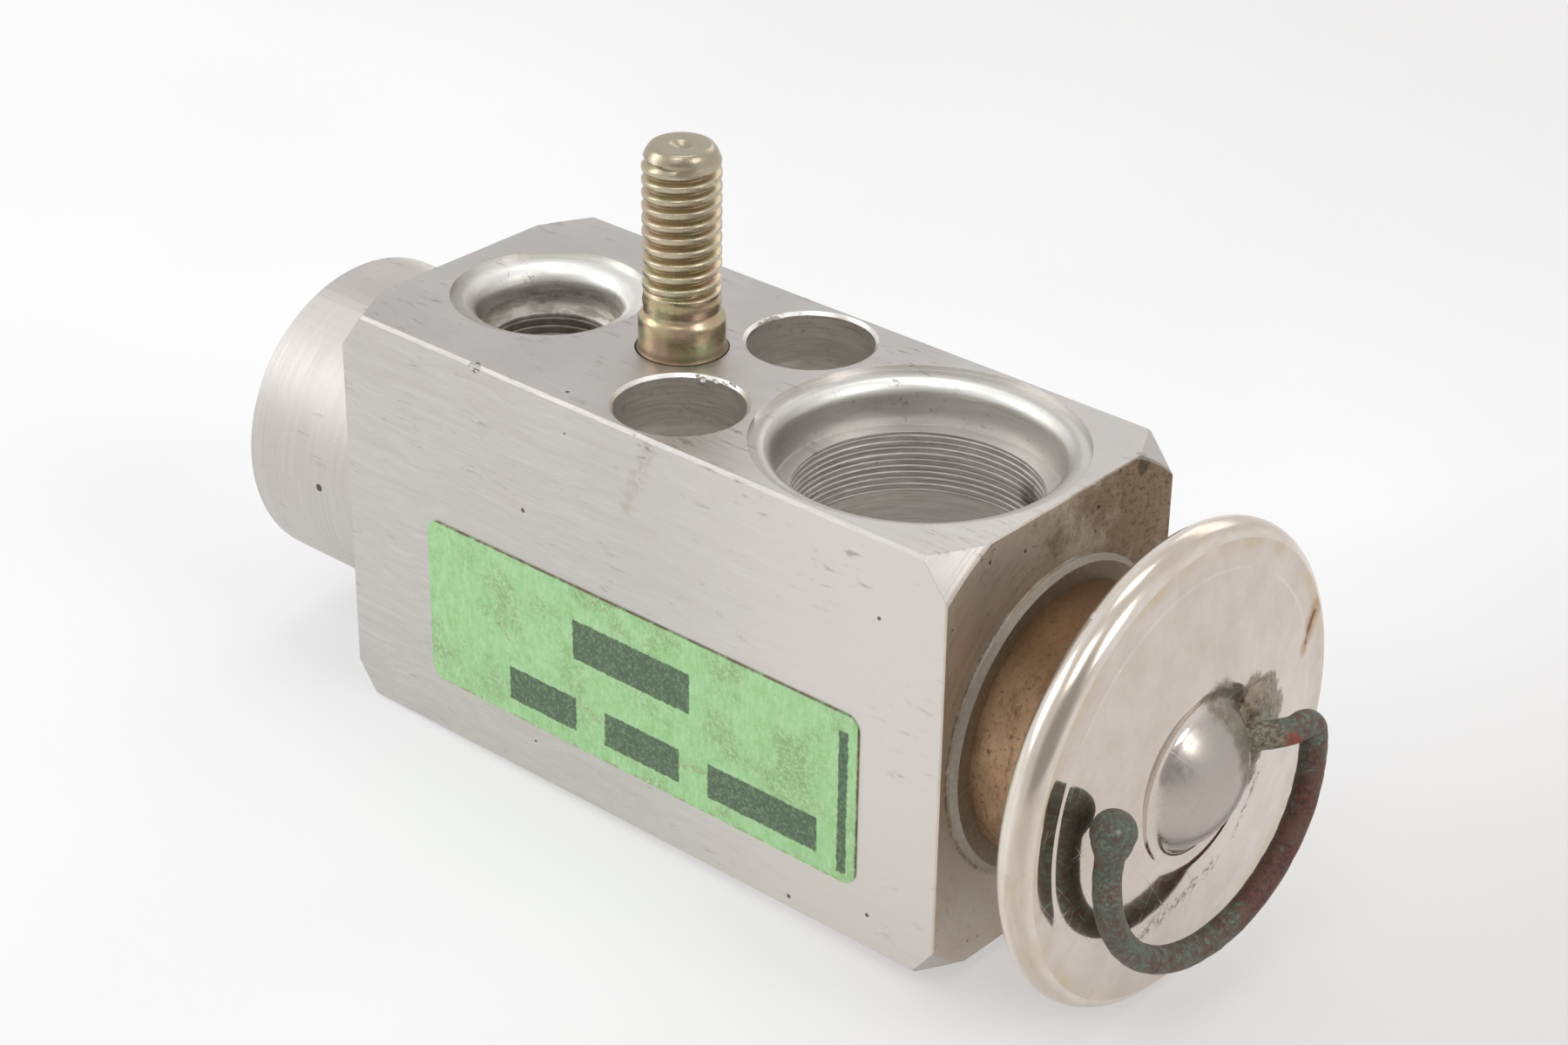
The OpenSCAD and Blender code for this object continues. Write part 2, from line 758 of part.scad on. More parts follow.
module rod_seal() {
    seal_r = seal_bore_r - seal_wire_r - seal_fit;
    color([0.1, 0.1, 0.1]) axis_ring(seal_bore_x + seal_wire_r + seal_fit, seal_r, seal_wire_r);
}

module rod_seal_clip() {
    clip_x = seal_bore_x + 2 * seal_wire_r + clip_gap;
    color([0.5, 0.5, 0.5])
        difference() {
            axis_rod(clip_x, clip_x + clip_t, seal_bore_r);
            axis_rod(clip_x - over, clip_x + clip_t + over, rod_r + clip_bore_gap);
        }
}

module push_pin() {
    color([0.6, 0.6, 0.62]) axis_rod(ball_x + ball_r, rod_end_x + pin_socket, pin_r);
}

module valve_ball() {
    color([0.75, 0.75, 0.77]) translate([ball_x, 0, axis_z]) sphere(r = ball_r, $fn = 64);
}

module ball_carrier() {
    color([0.66, 0.58, 0.36])
        difference() {
            union() {
                axis_rod(carrier_flange_x - 0.01, ball_x - carrier_lip, carrier_r);
                axis_rod(carrier_back_x, carrier_flange_x, carrier_flange_r);
                axis_rod(carrier_back_x - carrier_pilot_h, carrier_back_x + 0.01, spring_pilot_r);
            }
            translate([ball_x, 0, axis_z]) sphere(r = ball_r, $fn = 64);
        }
}

// Spring washer whose legs rub on the chamber's wall: a cup with wide gaps in its side
module damping_ring() {
    leg_count = 3;
    leg_len = 3;
    leg_angle = 40;
    lip = 0.3;
    leg_r = chamber_r - slide_gap;
    hole_r = spring_pilot_r + slide_gap;
    gap_angle = 360 / leg_count - leg_angle;
    color([0.55, 0.55, 0.55])
        difference() {
            turned([
                [hole_r, spring_start_x], [leg_r - damping_t, spring_start_x],
                [leg_r - damping_t, spring_start_x - leg_len], [leg_r, spring_start_x - leg_len],
                [leg_r, carrier_back_x], [hole_r, carrier_back_x]
            ]);
            for (i = [0:leg_count - 1])
                on_axis() rotate([0, 0, i * 360 / leg_count]) translate([0, 0, spring_start_x - leg_len - over])
                    rotate_extrude(angle = gap_angle) translate([leg_r - damping_t - wire_r, 0])
                        square([damping_t + 2 * wire_r, leg_len + over - lip]);
        }
}

// Point of the coil at a share of its whole length, with closed end turns
function coil_point(share, angle) =
    let (
        thin_r = wire_r * wire_share,
        turn = share * (spring_turns + 2),
        climb = min(max(turn - 1, 0), spring_turns) / spring_turns,
        end_turns = min(turn, 1) + min(max(turn - spring_turns - 1, 0), 1),
        wire_step = 2 * wire_r,
        inner_len = spring_len - 2 * wire_r - 2 * wire_step,
        along = wire_r + end_turns * wire_step + climb * inner_len,
        r = spring_r + thin_r * cos(angle)
    )
    [r * cos(360 * turn), r * sin(360 * turn), along + thin_r * sin(angle)];

module valve_spring() {
    sides = 8;
    rings = (spring_turns + 2) * 20;
    color([0.62, 0.62, 0.64])
        on_axis() translate([0, 0, seat_plate_x])
            swept([
                for (i = [0:rings])
                    [for (j = [0:sides - 1]) coil_point(i / rings, 360 * j / sides)]
            ]);
}

module spring_seat() {
    color([0.64, 0.62, 0.55]) {
        axis_rod(screw_nose_x, seat_plate_x, chamber_r - free_gap);
        axis_rod(seat_plate_x - 0.01, seat_plate_x + seat_pilot_h, spring_pilot_r);
    }
}

module adjusting_screw() {
    color([0.72, 0.62, 0.36])
        difference() {
            union() {
                axis_rod(screw_head_x, screw_shoulder_x, screw_r);
                axis_rod(screw_shoulder_x - 0.01, screw_nose_x, screw_nose_r);
            }
            difference() {
                axis_rod(seal_groove_x, seal_groove_x + seal_groove_w, screw_nose_r + over);
                axis_rod(seal_groove_x - over, seal_groove_x + seal_groove_w + over,
                         screw_nose_r - 2 * screw_seal_wire_r);
            }
            on_axis() translate([0, 0, screw_head_x - over])
                cylinder(r = socket_af / 2 / cos(30), h = over + socket_depth, $fn = 6);
        }
}

module screw_seal() {
    color([0.1, 0.1, 0.1])
        axis_ring(seal_groove_x + seal_groove_w / 2, screw_nose_r - screw_seal_wire_r, screw_seal_wire_r - 0.01);
}

valve_block();
label();
mounting_stud();
head_cover();
head_base();
rim_weld();
diaphragm();
head_hub();
hub_seal();
charge_tube();
tube_solder();
pusher_plate();
sensing_rod();
rod_seal();
rod_seal_clip();
push_pin();
valve_ball();
ball_carrier();
damping_ring();
valve_spring();
spring_seat();
adjusting_screw();
screw_seal();
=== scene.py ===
"""Looks of the block type expansion valve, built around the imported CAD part."""

import math

import bpy
from mathutils import Matrix, Vector, noise


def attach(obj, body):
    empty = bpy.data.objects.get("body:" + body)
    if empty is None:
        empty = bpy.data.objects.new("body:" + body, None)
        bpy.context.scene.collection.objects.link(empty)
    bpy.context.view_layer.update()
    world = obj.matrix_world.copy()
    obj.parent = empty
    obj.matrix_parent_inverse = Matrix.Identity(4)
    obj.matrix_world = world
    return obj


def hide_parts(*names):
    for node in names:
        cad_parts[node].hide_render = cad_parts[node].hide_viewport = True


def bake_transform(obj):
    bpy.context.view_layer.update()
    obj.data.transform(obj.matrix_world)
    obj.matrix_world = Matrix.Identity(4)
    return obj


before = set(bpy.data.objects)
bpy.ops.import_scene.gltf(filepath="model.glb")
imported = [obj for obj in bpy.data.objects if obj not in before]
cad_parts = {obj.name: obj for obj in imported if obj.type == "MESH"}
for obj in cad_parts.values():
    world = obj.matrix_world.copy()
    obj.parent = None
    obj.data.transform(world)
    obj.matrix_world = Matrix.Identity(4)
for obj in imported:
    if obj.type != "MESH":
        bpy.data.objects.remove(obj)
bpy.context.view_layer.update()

# Sizes repeated from part.scad, in millimetres
MM = 0.001
FRONT_Y = -12.5
BLOCK_H = 33.0
AXIS_Z = 16.3
END_X = 29.0
SUCTION_X = 16.3
INLET_X = -19.54
OUTLET_X = -10.0
SCREW_X = 0.3
SCREW_Y = 7.05
STUD_X = -6.0
STUD_R = 2.93
RIM_R = 17.72
RIM_W = 3.0
RIM_MID_X = 38.6
SHELL_R = 16.7
COVER_FRONT_X = 40.05
COVER_BACK_X = 38.95
STEP_R = 14.6
STEP_H = 0.12
DOME_FOOT_X = 41.32
DOME_R = 5.3
DOME_H = 2.6
DOME_GROOVE_R = 5.8
DOME_GROOVE_DEPTH = 0.35
DOME_BALL_R = (DOME_R ** 2 + DOME_H ** 2) / (2 * DOME_H)
DOME_MIDDLE_X = DOME_FOOT_X + DOME_H - DOME_BALL_R
COVER_WALL = 1.1
CONE_START_R = DOME_GROOVE_R + 0.2
CONE_END_R = STEP_R - STEP_H

# Sides of the turned meshes
TURNED_SIDES = 288


# Mesh helpers
def new_mesh(name, points, faces):
    """A mesh object from points in millimetres in the row frame."""
    mesh = bpy.data.meshes.new(name)
    mesh.from_pydata([tuple(c * MM for c in p) for p in points], [], faces)
    mesh.validate()
    for polygon in mesh.polygons:
        polygon.use_smooth = True
    piece = bpy.data.objects.new(name, mesh)
    bpy.context.scene.collection.objects.link(piece)
    return piece


def skin(rings):
    """Points and faces of a closed skin through rings of equal length."""
    sides = len(rings[0])
    points = [tuple(p) for ring in rings for p in ring]
    faces = []
    for i in range(len(rings) - 1):
        for j in range(sides):
            k = (j + 1) % sides
            faces.append((i * sides + j, i * sides + k, (i + 1) * sides + k, (i + 1) * sides + j))
    faces.append(tuple(range(sides - 1, -1, -1)))
    last = (len(rings) - 1) * sides
    faces.append(tuple(last + j for j in range(sides)))
    return points, faces


def lathe(name, profile):
    """A mesh turned about the valve axis. The profile is a closed line of pairs of x and radius."""
    count = len(profile)
    points = []
    faces = []
    for j in range(TURNED_SIDES):
        a = 2 * math.pi * j / TURNED_SIDES
        k = (j + 1) % TURNED_SIDES
        for i, (x, r) in enumerate(profile):
            m = (i + 1) % count
            points.append((x, r * math.sin(a), AXIS_Z + r * math.cos(a)))
            faces.append((j * count + i, j * count + m, k * count + m, k * count + i))
    return new_mesh(name, points, faces)


def arc(centre, radius, start, end, steps):
    """Points of an arc, with angles in degrees from the first axis to the second."""
    points = []
    for i in range(steps + 1):
        a = math.radians(start + (end - start) * i / steps)
        points.append((centre[0] + radius * math.cos(a), centre[1] + radius * math.sin(a)))
    return points


def even_steps(count):
    """Even steps that end at 1."""
    return [i / count for i in range(1, count + 1)]


def ease(t):
    """A smooth step from 0 to 1."""
    return t * t * (3 - 2 * t)


def smooth_by_angle(piece, angle):
    """Smooth shading with sharp edges above the angle, in degrees."""
    piece.data.set_sharp_from_angle(angle=math.radians(angle))


# Material helpers
class Value:
    """What a node gives, open to plain sums and ramps."""

    def __init__(self, look, socket):
        self.look = look
        self.socket = socket

    def __add__(self, other):
        return self.look.math("ADD", self, other)

    def __sub__(self, other):
        return self.look.math("SUBTRACT", self, other)

    def __rsub__(self, other):
        return self.look.math("SUBTRACT", other, self)

    def __mul__(self, other):
        return self.look.math("MULTIPLY", self, other)

    def __abs__(self):
        return self.look.math("ABSOLUTE", self)

    def ramp(self, low, high, start=0.0, end=1.0):
        """Maps low..high smoothly to start..end, clamped."""
        values = (self, low, high, start, end)
        node = self.look.node("MapRange", *values, interpolation_type="SMOOTHSTEP")
        return Value(self.look, node.outputs[0])

    def inside(self, low, high, edge):
        """1 between low and high, with soft edges."""
        return self.ramp(low - edge, low) * self.ramp(high, high + edge, 1.0, 0.0)


class Look:
    """The node tree of one material, with places in millimetres, and its tone so far."""

    def __init__(self, name):
        self.mat = bpy.data.materials.new(name)
        self.mat.use_nodes = True
        self.tree = self.mat.node_tree
        self.tree.nodes.clear()
        self.out = self.node("OutputMaterial")
        self.shader = self.node("BsdfPrincipled")
        self.tree.links.new(self.shader.outputs[0], self.out.inputs[0])
        self.geometry = self.node("NewGeometry")
        coord = self.node("TexCoord")
        self.place = self.vector("MULTIPLY", coord.outputs["Object"], (1 / MM, 1 / MM, 1 / MM))
        self.x, self.y, self.z = self.split(self.place)
        self.tone = None

    def node(self, kind, *values, **settings):
        """A new node with its settings, and with its first inputs filled."""
        node = self.tree.nodes.new("ShaderNode" + kind)
        for name, value in settings.items():
            setattr(node, name, value)
        for socket, value in zip(node.inputs, values):
            self.put(socket, value)
        return node

    def put(self, socket, value):
        """Links a value to a socket, or sets the socket's own number or colour."""
        value = getattr(value, "socket", value)
        if isinstance(value, bpy.types.NodeSocket):
            self.tree.links.new(value, socket)
        elif socket.type == "RGBA" and len(value) == 3:
            socket.default_value = (*value, 1)
        else:
            socket.default_value = value

    def fill(self, node, **values):
        """Fills a node's inputs by their names, with _ for a space."""
        for name, value in values.items():
            self.put(node.inputs[name.replace("_", " ")], value)
        return node

    def vector(self, op, *values):
        node = self.node("VectorMath", *values, operation=op)
        is_number = op in ("DISTANCE", "LENGTH", "DOT_PRODUCT")
        return Value(self, node.outputs["Value" if is_number else 0])

    def math(self, op, *values):
        return Value(self, self.node("Math", *values, operation=op).outputs[0])

    def split(self, value):
        return [Value(self, socket) for socket in self.node("SeparateXYZ", value).outputs]

    def join(self, *values):
        return Value(self, self.node("CombineXYZ", *values).outputs[0])

    def turned(self):
        """Distance from the valve axis, and the angle round it in radians."""
        rise = self.z - AXIS_Z
        return self.math("SQRT", self.y * self.y + rise * rise), self.math("ARCTAN2", rise, self.y)

    def upright(self, x, y):
        """Distance from an upright axis."""
        return self.vector("DISTANCE", self.join(self.x, self.y, 0.0), (x, y, 0))

    def noise(self, place, scale, detail=3.0, rough=0.55):
        settings = {"Vector": place, "Scale": scale, "Detail": detail, "Roughness": rough}
        return Value(self, self.fill(self.node("TexNoise"), **settings).outputs[0])

    def mottle(self, *settings):
        """Noise that is alike in all directions."""
        return self.noise(self.place, *settings)

    def stretched(self, x, y, z, *settings):
        """Noise with its places scaled along each axis."""
        axes = ((self.x, x), (self.y, y), (self.z, z))
        place = self.join(*(axis if factor == 1 else axis * factor for axis, factor in axes))
        return self.noise(place, *settings)

    def cells(self, scale):
        """Distance to the nearest of many scattered points."""
        node = self.fill(self.node("TexVoronoi"), Vector=self.place, Scale=scale)
        return Value(self, node.outputs["Distance"])

    def mix(self, share, a, b):
        """Colour a at share 0, colour b at share 1."""
        node = self.node("Mix", share, data_type="RGBA")
        for socket, colour in zip([s for s in node.inputs if s.type == "RGBA"], (a, b)):
            self.put(socket, colour)
        return Value(self, next(s for s in node.outputs if s.type == "RGBA"))

    def shades(self, share, a, b):
        """A mix of two 8-bit sRGB colours."""
        return self.mix(share, srgb(*a), srgb(*b))

    def paint(self, share, *colour):
        """8-bit sRGB numbers, or a mixed colour, over the tone so far and as strong as the share."""
        self.tone = self.mix(share, self.tone, srgb(*colour) if len(colour) == 3 else colour[0])

    def blend(self, share, a, b):
        """Number a at share 0, number b at share 1."""
        node = self.node("Mix", share, data_type="FLOAT")
        for socket, value in zip(node.inputs[2:4], (a, b)):
            self.put(socket, value)
        return Value(self, node.outputs[0])

    def wavy(self, far, wobble, scale):
        """A distance with its outline made uneven."""
        return far + (self.mottle(scale, 4.0) - 0.5) * (wobble * 2) if wobble else far

    def spot(self, centre, radius, edge, wobble=0.0, scale=1.5):
        """1 within the radius of a place, 0 beyond its soft edge."""
        far = self.wavy(self.vector("DISTANCE", self.place, centre), wobble, scale)
        return far.ramp(radius, radius + edge, 1.0, 0.0)

    def streak(self, a, b, width, edge, wobble=0.0, scale=1.5):
        """1 near the line between two places, 0 beyond its soft edge."""
        a, b = Vector(a), Vector(b)
        line = b - a
        towards = self.vector("SUBTRACT", self.place, tuple(a))
        along = self.vector("DOT_PRODUCT", towards, tuple(line / line.length_squared))
        along = self.math("MINIMUM", self.math("MAXIMUM", along, 0.0), 1.0)
        node = self.fill(self.node("VectorMath", tuple(line), operation="SCALE"), Scale=along)
        foot = self.vector("ADD", node.outputs[0], tuple(a))
        far = self.wavy(self.vector("DISTANCE", self.place, foot), wobble, scale)
        return far.ramp(width, width + edge, 1.0, 0.0)

    def most(self, *shares):
        """The highest of several shares."""
        value = shares[0]
        for other in shares[1:]:
            value = self.math("MAXIMUM", value, other)
        return value

    def outward(self):
        """The face's own direction, before any bump."""
        return self.split(self.geometry.outputs["True Normal"])

    def rounded(self, radius):
        """A direction that rounds off sharp edges, radius in millimetres."""
        return self.node("Bevel", radius * MM, samples=4).outputs[0]

    def surface(self, metallic, rough, height, depth, normal=None):
        """Finishes the look. The bump's depth is in millimetres for a height of 0 to 1."""
        bump = self.fill(self.node("Bump"), Strength=1.0, Distance=depth * MM, Height=height)
        if normal is not None:
            self.fill(bump, Normal=normal)
        facing = bump.outputs[0]
        self.fill(self.shader, Base_Color=self.tone, Metallic=metallic, Roughness=rough, Normal=facing)

    def give(self, *nodes):
        """This material for CAD nodes."""
        for name in nodes:
            self.wear(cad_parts[name])

    def wear(self, piece):
        """This material for a piece."""
        piece.data.materials.clear()
        piece.data.materials.append(self.mat)


def srgb(r, g, b):
    """Linear colour from 8-bit sRGB numbers."""
    return tuple((c / 255 / 12.92) if c <= 10 else ((c / 255 + 0.055) / 1.055) ** 2.4 for c in (r, g, b))


# Camera at the photograph's viewing angle
AZIMUTH = math.radians(40.87)
ELEVATION = math.radians(28.81)
ROLL = math.radians(0.82)
CAMERA_PLACE = Vector((143.98, -161.72, 139.64))
FOCAL_PIXELS = 3857
PHOTO_PIXELS = 1800
SENSOR = 36
forward = Vector((
    -math.sin(AZIMUTH) * math.cos(ELEVATION),
    math.cos(AZIMUTH) * math.cos(ELEVATION),
    -math.sin(ELEVATION),
))
level_right = Vector((math.cos(AZIMUTH), math.sin(AZIMUTH), 0))
level_up = level_right.cross(forward)
right = math.cos(ROLL) * level_right + math.sin(ROLL) * level_up
up = -math.sin(ROLL) * level_right + math.cos(ROLL) * level_up
camera = bpy.data.objects.new("camera", bpy.data.cameras.new("camera"))
bpy.context.scene.collection.objects.link(camera)
camera.data.sensor_width = SENSOR
camera.data.lens = FOCAL_PIXELS / PHOTO_PIXELS * SENSOR
camera.data.clip_start = 0.01
camera.data.clip_end = 10
turn = Matrix((right, up, -forward)).transposed().to_4x4()
camera.matrix_world = Matrix.Translation(CAMERA_PLACE * MM) @ turn
bpy.context.scene.camera = camera
bpy.context.scene.view_settings.view_transform = "Standard"


# World, floor and lamps
TENT_TONES = ((0.84, 0.84, 0.85), (0.42, 0.41, 0.41))
OPENING_WAY = (0.70, -0.67, 0.25)
OPENING_FADE = (0.62, 0.93)


def build_world():
    """A pale tent of light, open and darker on the camera's side."""
    world = bpy.data.worlds.new("studio")
    bpy.context.scene.world = world
    world.use_nodes = True
    tree = world.node_tree
    coord = tree.nodes.new("ShaderNodeTexCoord")
    towards = tree.nodes.new("ShaderNodeVectorMath")
    towards.operation = "DOT_PRODUCT"
    towards.inputs[1].default_value = OPENING_WAY
    tree.links.new(coord.outputs["Generated"], towards.inputs[0])
    opening = tree.nodes.new("ShaderNodeMapRange")
    opening.interpolation_type = "SMOOTHSTEP"
    for socket, value in zip(opening.inputs[1:5], (*OPENING_FADE, 0.0, 1.0)):
        socket.default_value = value
    tree.links.new(towards.outputs["Value"], opening.inputs[0])
    tent = tree.nodes.new("ShaderNodeMix")
    tent.data_type = "RGBA"
    tree.links.new(opening.outputs[0], tent.inputs["Factor"])
    for socket, value in zip([s for s in tent.inputs if s.type == "RGBA"], TENT_TONES):
        socket.default_value = (*value, 1)
    tone = next(s for s in tent.outputs if s.type == "RGBA")
    tree.links.new(tone, tree.nodes["Background"].inputs[0])


build_world()


def lamp(name, place, aim, size_x, size_y, power, colour=(1, 1, 1)):
    """A rectangular soft lamp, places in metres."""
    light = bpy.data.lights.new(name, "AREA")
    light.shape = "RECTANGLE"
    light.size = size_x
    light.size_y = size_y
    light.energy = power
    light.color = colour
    holder = bpy.data.objects.new(name, light)
    bpy.context.scene.collection.objects.link(holder)
    holder.location = place
    holder.rotation_mode = "QUATERNION"
    holder.rotation_quaternion = (Vector(aim) - Vector(place)).to_track_quat("-Z", "Y")
    return holder


lamp("key_lamp", (-0.553, -0.417, 0.40), (-0.01, 0, 0.015), 0.32, 0.42, 1.3)
lamp("front_lamp", (0.14, -0.38, 0.70), (0.01, 0, 0.015), 0.3, 0.3, 0.7)
lamp("side_lamp", (0.66, 0.02, 0.51), (0.03, 0, 0.015), 0.2, 0.3, 1.1)
lamp("back_lamp", (-0.15, 0.75, 0.45), (0, 0, 0.015), 0.6, 0.3, 0.6)
lamp("top_lamp", (-0.10, 0.16, 0.85), (0, 0, 0.015), 0.35, 0.25, 0.6)


def build_floor():
    """A pale floor that touches the rim of the head and the block's lower end edge."""
    tilt = (RIM_R - AXIS_Z) / (RIM_MID_X + END_X)
    drop = 0.02
    half = 1500
    steps = 12
    lines = [-half + 2 * half * i / steps for i in range(steps + 1)]
    points = [(x, y, -(x + END_X) * tilt - drop) for x in lines for y in lines]
    faces = []
    for i in range(steps):
        for j in range(steps):
            a = i * (steps + 1) + j
            faces.append((a, a + steps + 1, a + steps + 2, a + 1))
    floor = new_mesh("floor", points, faces)
    look = Look("floor_paper")
    grain = look.mottle(0.02, 2.0)
    look.tone = look.mix(grain.ramp(0.3, 0.7), (0.86, 0.86, 0.865), (0.90, 0.90, 0.90))
    # Painted shade: the paper is a little greyer to the right and behind
    painted_floor_shade = look.most(look.x.ramp(0.0, 80.0), look.y.ramp(30.0, 180.0, 0.0, 0.5))
    painted_floor_shade = painted_floor_shade * look.vector("LENGTH", look.place).ramp(350.0, 800.0, 1.0, 0.0)
    look.paint(painted_floor_shade, (0.74, 0.72, 0.705))
    look.fill(look.shader, Base_Color=look.tone, Roughness=0.9, Specular_IOR_Level=0.1)
    # Half of what the camera and the metal see is the paper's own white, so the shadows stay light
    path = look.node("LightPath")
    rays = [path.outputs["Is " + kind + " Ray"] for kind in ("Camera", "Glossy", "Transmission")]
    white = look.node("Emission", look.mix(painted_floor_shade, (0.92, 0.92, 0.92), (0.73, 0.715, 0.7)))
    share = look.most(*rays) * 0.5
    lit = look.node("MixShader", share, look.shader.outputs[0], white.outputs[0])
    below = look.geometry.outputs["Backfacing"]
    clear = look.node("BsdfTransparent")
    under = look.node("MixShader", below, lit.outputs[0], clear.outputs[0])
    look.put(look.out.inputs[0], under.outputs[0])
    look.wear(floor)


build_floor()


# Aluminium block. Each hole's middle and radius: x, y, radius
HOLES = (
    (SUCTION_X, 0, 12.0), (INLET_X, 0, 7.55), (OUTLET_X, 0, 7.55),
    (SCREW_X, SCREW_Y, 5.2), (SCREW_X, -SCREW_Y, 5.2),
)


def block_grain(look, in_hole, cut, angle, radius):
    """Fine and broad lines: along the block, round its turned ends and round its bores."""
    drift = (look.mottle(0.07, 2.0) - 0.5) * 3.0
    y = look.y + drift
    z = look.z + drift
    results = []
    for scale, stretch in ((3.6, 0.07), (0.9, 0.03)):
        brushed = look.noise(look.join(look.x * stretch, y * scale, z * scale), 1.6, 4.0, 0.65)
        turned_place = look.join(look.x * scale, angle * (12.0 * stretch), radius * scale)
        lines = look.blend(cut, brushed, look.noise(turned_place, 1.6, 4.0, 0.65))
        results.append(look.blend(in_hole, lines, look.stretched(0.2, 0.2, scale, 1.6, 4.0, 0.6)))
    return results


def end_dirt_and_shade(look, end, radius):
    """Brown film on the head's end face, thickest in its far upper corner; its brown is partly dirt and
    partly painted shade. Returns where it is dirty.
    """
    grime = look.mottle(0.3, 5.0, 0.7)
    specks = look.mottle(1.9, 5.0, 0.75)
    corner = (look.y + (look.z - AXIS_Z) * 0.6).ramp(-2.0, 19.0)
    film = end * (grime + corner * 0.3).ramp(0.3, 0.8, 0.5, 0.95)
    look.paint(film, 204, 190, 172)
    # Partly dirt, partly painted shade: the end face is browner, most in its far upper corner
    brown = end * (grime * 0.8 + corner * 0.42).ramp(0.48, 0.8)
    look.paint(brown * 0.75, 126, 99, 70)
    flecks = end * (specks + corner * 0.12).ramp(0.62, 0.74)
    look.paint(flecks * 0.6, 88, 68, 48)
    ring = look.x.ramp(END_X + 0.05, END_X + 0.2) * specks.ramp(0.3, 0.6, 0.7, 0.95)
    look.paint(ring, 150, 138, 122)
    foot = radius.inside(11.85, 12.0, 0.25) * look.x.ramp(END_X - 0.1, END_X + 0.15, 1.0, 0.0) * end
    foot = foot * specks.ramp(0.4, 0.55) * look.y.ramp(-4.0, -8.0, 0.15, 1.0)
    look.paint(foot * 0.7, 70, 54, 40)
    return look.most(film, ring)


def port_stains(look):
    """Dark streaks in the inlet, and a stain on the grooves of the suction port."""
    far = look.upright(INLET_X, 0)
    streaky = look.stretched(0.5, 0.5, 1.6, 1.0, 5.0, 0.75)
    deep = look.z.ramp(BLOCK_H - 1.4, BLOCK_H - 2.6) * look.z.ramp(8.0, 12.0)
    inlet = far.ramp(6.0, 5.7) * deep * streaky.ramp(0.42, 0.6)
    look.paint(inlet * 0.5, 150, 140, 126)
    lower = far.ramp(5.0, 4.8) * look.z.ramp(BLOCK_H - 4.0, BLOCK_H - 4.3) * deep
    look.paint(lower * 0.6, 116, 104, 90)
    wide = look.upright(SUCTION_X, 0)
    grooved = wide.ramp(9.6, 9.3) * look.z.inside(BLOCK_H - 8.7, BLOCK_H - 4.0, 0.1)
    look.paint(grooved * streaky.ramp(0.3, 0.6, 0.05, 0.3), 160, 152, 142)
    rings = look.stretched(0.12, 0.12, 4.0, 1.0, 3.0, 0.7)
    look.paint(grooved * rings.ramp(0.4, 0.65, 0.0, 0.45), 136, 130, 120)
    dark = grooved * look.spot((20.2, 8.0, BLOCK_H - 6.8), 0.3, 2.0, 0.6, 0.8)
    look.paint(dark * streaky.ramp(0.35, 0.55) * 0.8, 64, 54, 46)


def block_marks(look, end):
    """Pits, nicks and dark flecks, as shares of a dark tone."""
    pits = look.cells(1.1).ramp(0.16, 0.05)
    pit_share = pits * end * look.mottle(0.35, 3.0).ramp(0.45, 0.6)
    # Front face: x, z and radius. End face: y, z and radius. Elsewhere: x, y, z and radius
    on_front = (
        (-10.2, 22.8, 0.13), (23.0, 2.9, 0.12), (23.3, 27.0, 0.1), (-5.8, 30.6, 0.05), (-9.5, 3.3, 0.08),
        (15.8, 1.1, 0.12), (18.8, 33.0, 0.1), (1.0, 32.9, 0.1),
    )
    on_end = ((-4.4, 30.9, 0.1), (-8.2, 31.6, 0.1), (3.7, 31.0, 0.14))
    elsewhere = (
        (-32.8, -12.4, 16.4, 0.26), (-6.85, -11.05, 33.0, 0.1), (2.6, -5.4, 31.6, 0.2),
        (24.2, 2.6, 31.4, 0.1), (22.0, 7.0, 31.0, 0.08),
    )
    spots = [(x, FRONT_Y, z, r) for x, z, r in on_front] + [(END_X, y, z, r) for y, z, r in on_end]
    shares = [look.spot((x, y, z), r, 0.1, 0.08, 3.0) for x, y, z, r in (*spots, *elsewhere)]
    corner = look.spot((END_X, 8.9, 32.3), 0.5, 0.5, 0.5, 2.0)
    return look.most(*shares, pit_share * 0.8, corner * 0.7)


def scuffs(look):
    """Short dark scuffs that run along the faces."""
    short = look.stretched(0.3, 1.6, 1.6, 1.0, 5.0, 0.75).ramp(0.55, 0.7)
    upper = look.z.ramp(26.0, 33.0, 0.5, 1.0)
    return short * look.mottle(0.2, 3.0).ramp(0.42, 0.6) * upper


